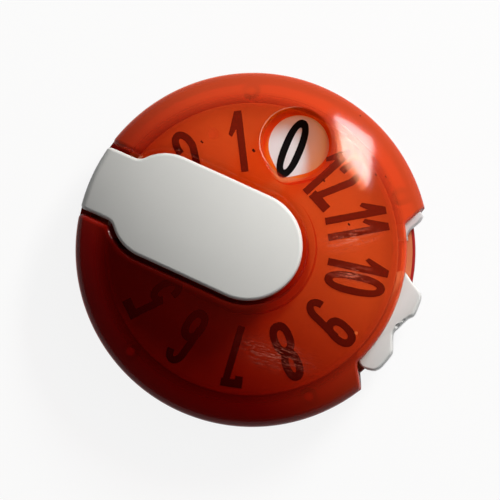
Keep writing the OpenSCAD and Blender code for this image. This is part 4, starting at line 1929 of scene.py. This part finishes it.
@dataclass
class Dial:
    """Numbered disc with its stop tab, the ring over it and the ratchet hub under it."""

    disc_r: float = 17.35
    bore_r: float = 2.6
    low: float = 5.6
    thick: float = 1.0
    edge: float = 0.14
    tab_at: float = 14.5
    tab_len: float = 1.6
    tab_w: float = 2.4
    tab_low: float = 4.75
    tab_angle: float = 180.0 - 180.0 / 13.0
    ring_r: float = 4.2
    ring_h: float = 0.75

    def washer_section(self, inner: float, outer: float, low: float, high: float) -> list[Plan]:
        """Section of a flat ring with rounded outer edges.

        Args:
            inner: Inner radius.
            outer: Outer radius.
            low: Height of its underside.
            high: Height of its top.

        Returns:
            The section.
        """
        e = self.edge
        return [
            (inner, low),
            *arc((outer - e, low + e), e, -90, 0, 4),
            *arc((outer - e, high - e), e, 0, 90, 4),
            (inner, high),
        ]

    def disc(self) -> Piece:
        """The disc with its stop tab.

        Returns:
            The disc, in millimetres.
        """
        top = self.low + self.thick
        section = self.washer_section(self.bore_r, self.disc_r, self.low, top)
        disc = lathe("number_disc_moulding", section, 240)
        half = self.tab_w / 2
        at, reach = self.tab_at, self.tab_len / 2
        corners = [(at - reach, -half), (at + reach, -half), (at + reach, half), (at - reach, half)]
        plan = [turned_plan(p, self.tab_angle) for p in softened(corners, 0.2, 3)]
        shape(disc, Join.ADD, prism("tab", plan, self.tab_low, self.low + 0.15))
        smooth_shading(disc.data, 32.0)
        return disc

    def ring(self) -> Piece:
        """The retaining ring.

        Returns:
            The ring, in millimetres.
        """
        low = self.low + self.thick
        section = self.washer_section(self.bore_r, self.ring_r, low, low + self.ring_h)
        ring = lathe("dial_ring_moulding", section, 128)
        smooth_shading(ring.data, 32.0)
        return ring

    def dress(self, finishes: Finishes) -> None:
        """Builds the dial's pieces and hands them over in their finishes.

        Args:
            finishes: Every finish of the counter.
        """
        white = finishes.dial.material()
        hub = finishes.pawl.material()
        settle(self.disc(), white, Body.DIAL, ["number_disc"])
        settle(self.ring(), white, Body.DIAL, ["dial_ring"])
        settle_copy("ratchet_hub", "moulding", 0.06, hub, Body.DIAL)
        settle_copy("thrust_washer", "ring", 0.04, hub, Body.WASHER)
        keep_node("numerals", finishes.ink.material())


@dataclass
class Mechanism:
    """The mechanism plate, its pins and rivets, and the two pawls."""

    case: CaseShape
    plate_edge: float = 0.09
    pawl_edge: float = 0.06
    pin_edge: float = 0.07
    lip_z: Plan = (2.45, 6.45)
    lip_edge: float = 0.3
    lip_outline: tuple[Plan, ...] = (
        (29.2, 3.2), (29.2, 2.8), (31.6, 2.35), (32.8, 1.85), (33.7, 1.25), (35.2, 0.55),
        (36.7, 0.38), (37.2, 0.75), (35.9, 1.5), (33.6, 2.7), (33.0, 3.2),
    )

    def lip(self) -> Piece:
        """Rounded end of the plate's lip, which fills the upper end of the slot.

        Returns:
            The lip, in millimetres.
        """
        outline = [polar(self.case.case_r - inset, angle) for angle, inset in self.lip_outline]
        lip = rounded_prism("slot_lip", softened(outline, 0.35, 3), *self.lip_z, self.lip_edge)
        smooth_shading(lip.data, 50.0)
        return lip

    def dress(self, finishes: Finishes) -> None:
        """Builds the pieces and hands them over in their finishes.

        Args:
            finishes: Every finish of the counter.
        """
        white, slot = finishes.plate.material(), "plate_plastic"
        settle_copy("mechanism_plate", "moulding", self.plate_edge, white, Body.CASE)
        settle(self.lip(), white, Body.CASE)
        pale = finishes.pawl.material()
        steel = finishes.steel.material()
        for node, body in (("check_pawl", Body.CASE), ("drive_pawl", Body.LEVER)):
            settle_copy(node, "moulding", self.pawl_edge, pale, body)
        for node, body in (
            ("axle_pin", Body.CASE),
            ("lever_pivot", Body.CASE),
            ("hinge_pin", Body.CASE),
            ("check_pawl_rivet", Body.CASE),
            ("drive_pawl_rivet", Body.LEVER),
        ):
            settle_copy(node, "turned", self.pin_edge, steel, body)


class WireSection(Enum):
    """Section of a spring's wire."""

    ROUND = "round"
    STRIP = "strip"


class GrownPiece:
    """A piece grown by Geometry Nodes on a mesh that carries it."""

    def __init__(self, name: str, carrier: Piece) -> None:
        """Starts a tree for a carrier, with its geometry in and out.

        Args:
            name: Name of the tree.
            carrier: Object whose mesh goes in.
        """
        self.carrier = carrier
        self.tree = bpy.data.node_groups.new(name, "GeometryNodeTree")
        self.kit = NodeKit(self.tree)
        self.values: dict[str, float] = {}
        for way in ("INPUT", "OUTPUT"):
            self.tree.interface.new_socket(
                "Geometry", in_out=way, socket_type="NodeSocketGeometry"
            )
        self.group_in = self.kit.add("NodeGroupInput")
        self.group_out = self.kit.add("NodeGroupOutput")

    def size(self, name: str, value: float) -> bpy.types.NodeSocket:
        """Adds a named size to the tree's inputs.

        Args:
            name: Name of the size.
            value: The size.

        Returns:
            The socket that gives it.
        """
        self.tree.interface.new_socket(name, in_out="INPUT", socket_type="NodeSocketFloat")
        self.values[name] = value
        return self.group_in.outputs[name]

    def finish(self, grown: bpy.types.Node, material: bpy.types.Material) -> Piece:
        """Ends the tree and makes its result the carrier's own mesh.

        Args:
            grown: Node whose first output is the finished geometry.
            material: Finish of the piece.

        Returns:
            The carrier, with plain mesh.
        """
        real = self.kit.add("GeometryNodeRealizeInstances", None, {0: grown})
        dressed = self.kit.add(
            "GeometryNodeSetMaterial", None, {"Geometry": real, "Material": material}
        )
        self.tree.links.new(dressed.outputs[0], self.group_out.inputs[0])
        modifier = self.carrier.modifiers.new("grown", "NODES")
        modifier.node_group = self.tree
        for item in self.tree.interface.items_tree:
            if item.in_out == "INPUT" and item.name in self.values:
                modifier[item.identifier] = self.values[item.name]
        apply_modifiers(self.carrier)
        return self.carrier


def path_object(name: str, path: Sequence[Point]) -> Piece:
    """An object whose mesh is only the edges of a path.

    Args:
        name: Name of the object.
        path: Its points, in order.

    Returns:
        The object.
    """
    mesh = bpy.data.meshes.new(name)
    mesh.from_pydata(path, [(i, i + 1) for i in range(len(path) - 1)], [])
    return add_object(name, mesh)


@dataclass
class Springs:
    """The spiral return spring, the lift spring under the dial and the lever's spring."""

    strip: Plan = (0.2, 1.2)
    strip_z: float = 8.25
    strip_r: Plan = (2.72, 5.6)
    strip_turns: int = 4
    lift_wire: float = 0.35
    lift_r: float = 1.725
    lift_z: Plan = (2.295, 5.905)
    lift_turns: int = 5
    lift_travel: float = 0.91
    lever_wire: float = 0.35
    boss_r: float = 1.4
    post: Plan = (7.6, -3.4)
    coil_z: Plan = (3.775, 4.175)
    coil_gap: float = 0.1
    lead: tuple[float, float] = (68.0, 418.0)

    def grow(
        self,
        name: str,
        path: Sequence[Point],
        section: WireSection,
        size: Plan,
        material: bpy.types.Material,
    ) -> Piece:
        """Sweeps a wire along a path.

        Args:
            name: Name of the piece.
            path: Middle line of the wire, in millimetres.
            section: Shape of the wire's section.
            size: Thickness and height of the section.
            material: Finish of the wire.

        Returns:
            The spring, in millimetres.
        """
        piece = GrownPiece(f"{name}_growth", path_object(name, path))
        kit = piece.kit
        thick, high = piece.size("Thickness", size[0]), piece.size("Height", size[1])
        line = kit.add("GeometryNodeMeshToCurve", None, {0: piece.group_in})
        if section is WireSection.ROUND:
            profile = kit.add(
                "GeometryNodeCurvePrimitiveCircle",
                {"mode": "RADIUS"},
                {"Resolution": 14, "Radius": 0.5 * Reading(kit, thick)},
            )
        else:
            line = kit.add("GeometryNodeSetCurveNormal", {"mode": "Z_UP"}, {0: line})
            profile = kit.add(
                "GeometryNodeCurvePrimitiveQuadrilateral",
                {"mode": "RECTANGLE"},
                {"Width": high, "Height": thick},
            )
        tube = kit.add(
            "GeometryNodeCurveToMesh",
            None,
            {"Curve": line, "Profile Curve": profile, "Fill Caps": True},
        )
        made = piece.finish(tube, material)
        smooth_shading(made.data, 40.0)
        return made

    def return_path(self) -> list[Point]:
        """Middle line of the spiral strip.

        Returns:
            The path's points.
        """
        steps = self.strip_turns * 48
        low, high = self.strip_r
        z = self.strip_z + self.strip[1] / 2
        return [
            (*polar(low + (high - low) * i / steps, 90 + 7.5 * i), z) for i in range(steps + 1)
        ]

    def lift_path(self) -> list[Point]:
        """Middle line of the lift spring.

        Returns:
            The path's points.
        """
        steps = self.lift_turns * 36
        low, high = self.lift_z
        return [
            (*polar(self.lift_r, 10 * i), low + (high - low) * i / steps) for i in range(steps + 1)
        ]

    def lever_path(self) -> list[Point]:
        """Middle line of the lever's spring, in the lever's own frame turned to its place.

        Returns:
            The path's points.
        """
        px, py = LEVER_PIVOT
        off = PEG_R + self.lever_wire / 2 + 0.03
        sides: list[Plan] = []
        for x, y in (self.post, LEVER_PEG):
            length = math.hypot(x - px, y - py)
            sides.append((x + off * (y - py) / length, y - off * (x - px) / length))
        start = math.degrees(math.atan2(sides[0][1] - py, sides[0][0] - px)) + self.lead[0]
        radius = self.boss_r + self.lever_wire / 2 + self.coil_gap
        low, high = self.coil_z
        path: list[Point] = [(*sides[0], low)]
        for i in range(61):
            dx, dy = polar(radius, start + self.lead[1] * i / 60)
            path.append((px + dx, py + dy, low + (high - low) * i / 60))
        path.append((*sides[1], high))
        return [(*turned_plan((x, y), LEVER_TILT), z) for x, y, z in path]

    def dress(self, finish: TurnedMetal) -> None:
        """Grows the springs and hands them over in their finish.

        Args:
            finish: Their finish.
        """
        steel = finish.material()
        wires = (
            ("return_spring", self.return_path(), WireSection.STRIP, self.strip),
            ("lift_spring", self.lift_path(), WireSection.ROUND, (self.lift_wire,) * 2),
            ("lever_spring", self.lever_path(), WireSection.ROUND, (self.lever_wire,) * 2),
        )
        for node, path, section, size in wires:
            made = self.grow(f"{node}_wire", path, section, size, steel)
            settle(made, steel, Body.CASE, [node])
            if node == "lift_spring":
                self.press(made)

    def press(self, wire: Piece) -> None:
        """Gives the lift spring a mesh of its own.

        Args:
            wire: The lift spring, in metres.
        """
        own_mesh(wire)


@dataclass
class CaseScrews:
    """Four pan-head screws that close the case from below."""

    head_r: float = 0.95
    head_low: float = 1.55
    head_top: float = 2.15
    shank_r: float = 0.5
    top: float = 6.8
    slot_w: float = 0.25
    slot_deep: float = 0.25
    thread_deep: float = 0.09
    pitch: float = 0.3
    edge: float = 0.14
    point_r: float = 0.12
    point_len: float = 0.25

    def screw(self) -> Piece:
        """One screw on the Z axis.

        Returns:
            The screw, in millimetres.
        """
        low, e = self.head_low, self.edge
        root = self.shank_r - self.thread_deep
        thread: list[Plan] = []
        z = self.head_top + 0.15
        while z < self.top - 0.5:
            thread.append((root, z))
            thread.append((self.shank_r, z + self.pitch / 2))
            z += self.pitch
        profile = [
            (0.0, low),
            *arc((self.head_r - e, low + e), e, -90, 0, 4),
            (self.head_r, self.head_top - 0.05),
            (self.head_r - 0.05, self.head_top),
            (self.shank_r, self.head_top),
            *thread,
            (root, self.top - self.point_len),
            (self.point_r, self.top),
            (0.0, self.top),
        ]
        screw = lathe("case_screws_turned", profile, 40)
        half, w = self.head_r * 0.6, self.slot_w / 2
        cross = [
            prism("slot", [(-a, -b), (a, -b), (a, b), (-a, b)], low - 1, low + self.slot_deep)
            for a, b in ((half, w), (w, half))
        ]
        shape(screw, Join.CUT, *cross)
        return screw

    def dress(self, finish: TurnedMetal) -> None:
        """Sets the four screws and hands them over in their finish.

        Args:
            finish: Their finish.
        """
        material = finish.material()
        piece = GrownPiece("screw_ring", self.screw())
        kit = piece.kit
        reach = Reading(kit, piece.size("Reach", SCREW_AT))
        front = Reading(kit, piece.size("Front Angle", math.radians(SCREW_FRONT)))
        back = Reading(kit, piece.size("Back Angle", math.radians(SCREW_BACK)))
        index = kit.read(kit.add("GeometryNodeInputIndex"))
        is_back = kit.maths("GREATER_THAN", index, 1.5)
        side = 1.0 - 2.0 * kit.maths("MODULO", index, 2.0)
        angle = side * (front + (back - front) * is_back)
        spot = kit.add(
            "ShaderNodeCombineXYZ",
            None,
            {0: reach * kit.maths("COSINE", angle), 1: reach * kit.maths("SINE", angle)},
        )
        points = kit.add("GeometryNodePoints", None, {"Count": 4, "Position": spot})
        turn = kit.add("ShaderNodeCombineXYZ", None, {2: angle + 0.4 * index})
        rings = kit.add(
            "GeometryNodeInstanceOnPoints",
            None,
            {"Points": points, "Instance": piece.group_in, "Rotation": turn},
        )
        made = piece.finish(rings, material)
        smooth_shading(made.data, 30.0)
        settle(made, material, Body.CASE, ["case_screws"])


def direction(azimuth: float, height: float) -> Vector:
    """Unit vector towards a place in the sky, from its angles in degrees."""
    flat, rise = polar(1.0, height)
    return Vector((*polar(flat, azimuth), rise))


@dataclass(frozen=True)
class Lamp:
    """A square soft lamp: direction in degrees, lengths in metres."""

    name: str
    azimuth: float
    height: float
    away: float
    size: float
    power: float

    def place(self, target: Vector) -> None:
        """Adds the lamp to the scene, facing a target. Reflections don't show it.

        Args:
            target: What it faces.
        """
        data = bpy.data.lights.new(self.name, "AREA")
        data.shape = "RECTANGLE"
        data.size = data.size_y = self.size
        data.energy = self.power
        back = direction(self.azimuth, self.height)
        side = UP.cross(back).normalized()
        turn = Matrix((side, back.cross(side), back)).transposed().to_4x4()
        lamp = add_object(self.name, data)
        lamp.matrix_world = Matrix.Translation(target + back * self.away) @ turn
        lamp.visible_glossy = False


@dataclass(frozen=True)
class Panel:
    """A glowing four-sided panel whose corners are (azimuth, height) in degrees."""

    name: str
    corners: tuple[Plan, ...]
    away: float
    strength: float
    colour: Tint

    def place(self, target: Vector) -> None:
        """Hangs the panel round a target, out of the camera's sight.

        Args:
            target: The middle that it hangs round.
        """
        points = [target + self.away * direction(*corner) for corner in self.corners]
        mesh = bpy.data.meshes.new(self.name)
        mesh.from_pydata(points, [], [tuple(range(len(points)))])
        panel = add_object(self.name, mesh)
        glow = Finish(f"{self.name}_glow")
        mesh.materials.append(glow.end(glow.kit.glow(self.colour, self.strength)))
        panel.visible_camera = False
        panel.visible_shadow = False
        panel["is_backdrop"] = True


@dataclass
class Studio:
    """Pale floor, soft light and the camera at the photograph's angle."""

    lean: float = 5.36
    heading: float = -15.3
    roll: float = 24.82
    distance: float = 0.6
    sensor: float = 36.0
    frame_mm: float = 59.18
    target: Point = (0.0, 0.0, 6.0)
    shift: Plan = (-0.213, -0.083)
    floor_half: float = 900.0
    floor_white: float = 0.88
    floor_z: float = -0.04
    floor_dim: Tint = (0.25, 0.25, 0.25)
    floor_pale: Tint = (0.9, 0.9, 0.9)
    walls: float = 0.2
    walls_seen: float = 0.5
    ceiling: float = 0.03
    bright_heading: float = 62.0
    lamps: tuple[Lamp | Panel, ...] = (
        Panel("softbox", ((88.5, 24.3), (72.0, 23.2), (57.1, 38.4), (76.0, 37.2)), 0.5, 57.0,
              (1.0, 0.97, 0.94)),
        Lamp("fill", 60.0, 62.0, 0.6, 0.4, 0.55),
    )

    def axes(self) -> tuple[Vector, Vector, Vector]:
        """Camera's right, up and backward directions.

        Returns:
            The three unit vectors.
        """
        back = direction(self.heading, 90 - self.lean)
        flat = Vector((0, 1, 0)).cross(back).normalized()
        rise = back.cross(flat)
        c, s = polar(1.0, self.roll)
        return c * flat + s * rise, -s * flat + c * rise, back

    def camera(self) -> None:
        """Places the camera."""
        right, up, back = self.axes()
        data = bpy.data.cameras.new("photo_camera")
        data.sensor_width = self.sensor
        data.lens = self.distance * self.sensor / (self.frame_mm * MM)
        data.clip_start = 0.01
        data.clip_end = 20.0
        camera = add_object("photo_camera", data)
        aim = Vector(self.target) + self.shift[0] * right + self.shift[1] * up
        turn = Matrix((right, up, back)).transposed().to_4x4()
        camera.matrix_world = Matrix.Translation(aim * MM + back * self.distance) @ turn
        bpy.context.scene.camera = camera

    def seen(self, kit: NodeKit) -> tuple[Reading, Reading]:
        """Where the camera looks, and where it, a reflection or what is clear looks.

        Args:
            kit: The nodes of a material or of the world.

        Returns:
            The two masks.
        """
        path = kit.add("ShaderNodeLightPath")
        camera = kit.read(path, "Is Camera Ray")
        seen = camera.most(kit.read(path, "Is Glossy Ray"))
        return camera, seen.most(kit.read(path, "Is Transmission Ray"))

    def floor(self) -> None:
        """Lays the pale floor under the object."""
        h, z = self.floor_half * MM, self.floor_z * MM
        mesh = bpy.data.meshes.new("floor")
        mesh.from_pydata([(-h, -h, z), (h, -h, z), (h, h, z), (-h, h, z)], [], [(0, 1, 2, 3)])
        floor = add_object("floor", mesh)
        pale = Finish("pale_floor")
        kit = pale.kit
        _, seen = self.seen(kit)
        matt = kit.principled(
            Base_Color=kit.tint(seen, self.floor_dim, self.floor_pale),
            Roughness=0.9,
            Specular_IOR_Level=0.0,
        )
        white = kit.glow(WHITE, 1.0)
        mesh.materials.append(pale.end(kit.mix(self.floor_white * seen, matt, white)))
        floor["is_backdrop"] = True

    def world(self) -> None:
        """White walls round the object under a dim ceiling."""
        world = bpy.data.worlds.new("studio")
        world.use_nodes = True
        world.node_tree.nodes.clear()
        kit = NodeKit(world.node_tree)
        x, y, z = kit.split(kit.add("ShaderNodeTexCoord").outputs["Generated"])
        wall = z.below(edge=0.25, soft=0.2)
        camera, seen = self.seen(kit)
        way = polar(1.0, self.bright_heading)
        bright = (x * way[0] + y * way[1]).below(edge=-0.3, soft=0.9)
        level = (self.walls + self.walls_seen * seen * (1.0 - bright)).most(camera)
        strength = self.ceiling + (level - self.ceiling) * wall
        shade = kit.add("ShaderNodeBackground", None, {0: (*WHITE, 1.0), 1: strength})
        output = kit.add("ShaderNodeOutputWorld")
        kit.tree.links.new(shade.outputs[0], output.inputs[0])
        bpy.context.scene.world = world

    def build(self) -> None:
        """Sets the whole studio up."""
        for name in ("Cube", "Light", "Camera"):
            if name in bpy.data.objects:
                bpy.data.objects.remove(bpy.data.objects[name])
        self.camera()
        self.floor()
        self.world()
        for lamp in self.lamps:
            lamp.place(Vector(self.target) * MM)
        bpy.context.scene.view_settings.view_transform = "Standard"


def plain(box: object) -> object:
    """Turns a box of vectors into plain lists of numbers.

    Args:
        box: Numbers, or vectors in any nesting.

    Returns:
        The same numbers in lists.
    """
    if isinstance(box, (int, float)):
        return float(box)
    return [plain(part) for part in box]


def main() -> None:
    """Builds the counter piece by piece and sets its studio up."""
    logging.basicConfig(level=logging.INFO, format="%(name)s: %(message)s")
    finishes = Finishes()
    case = CaseShape.of_frame()
    key = KeyOutline()
    slot = SlotOutline()
    Cover(case, key, WindowOutline(), slot).dress(finishes.cover)
    BaseShell(case, slot).dress(finishes.base)
    ResetKey(case, key).dress(finishes.key)
    CountLever(case).dress(finishes.lever)
    Dial().dress(finishes)
    Mechanism(case).dress(finishes)
    Springs().dress(finishes.spring)
    CaseScrews().dress(finishes.screw)
    Studio().build()
    {"cad": plain(CAD_BOX), "visual": plain(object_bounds())}


if __name__ == "__main__":
    main()
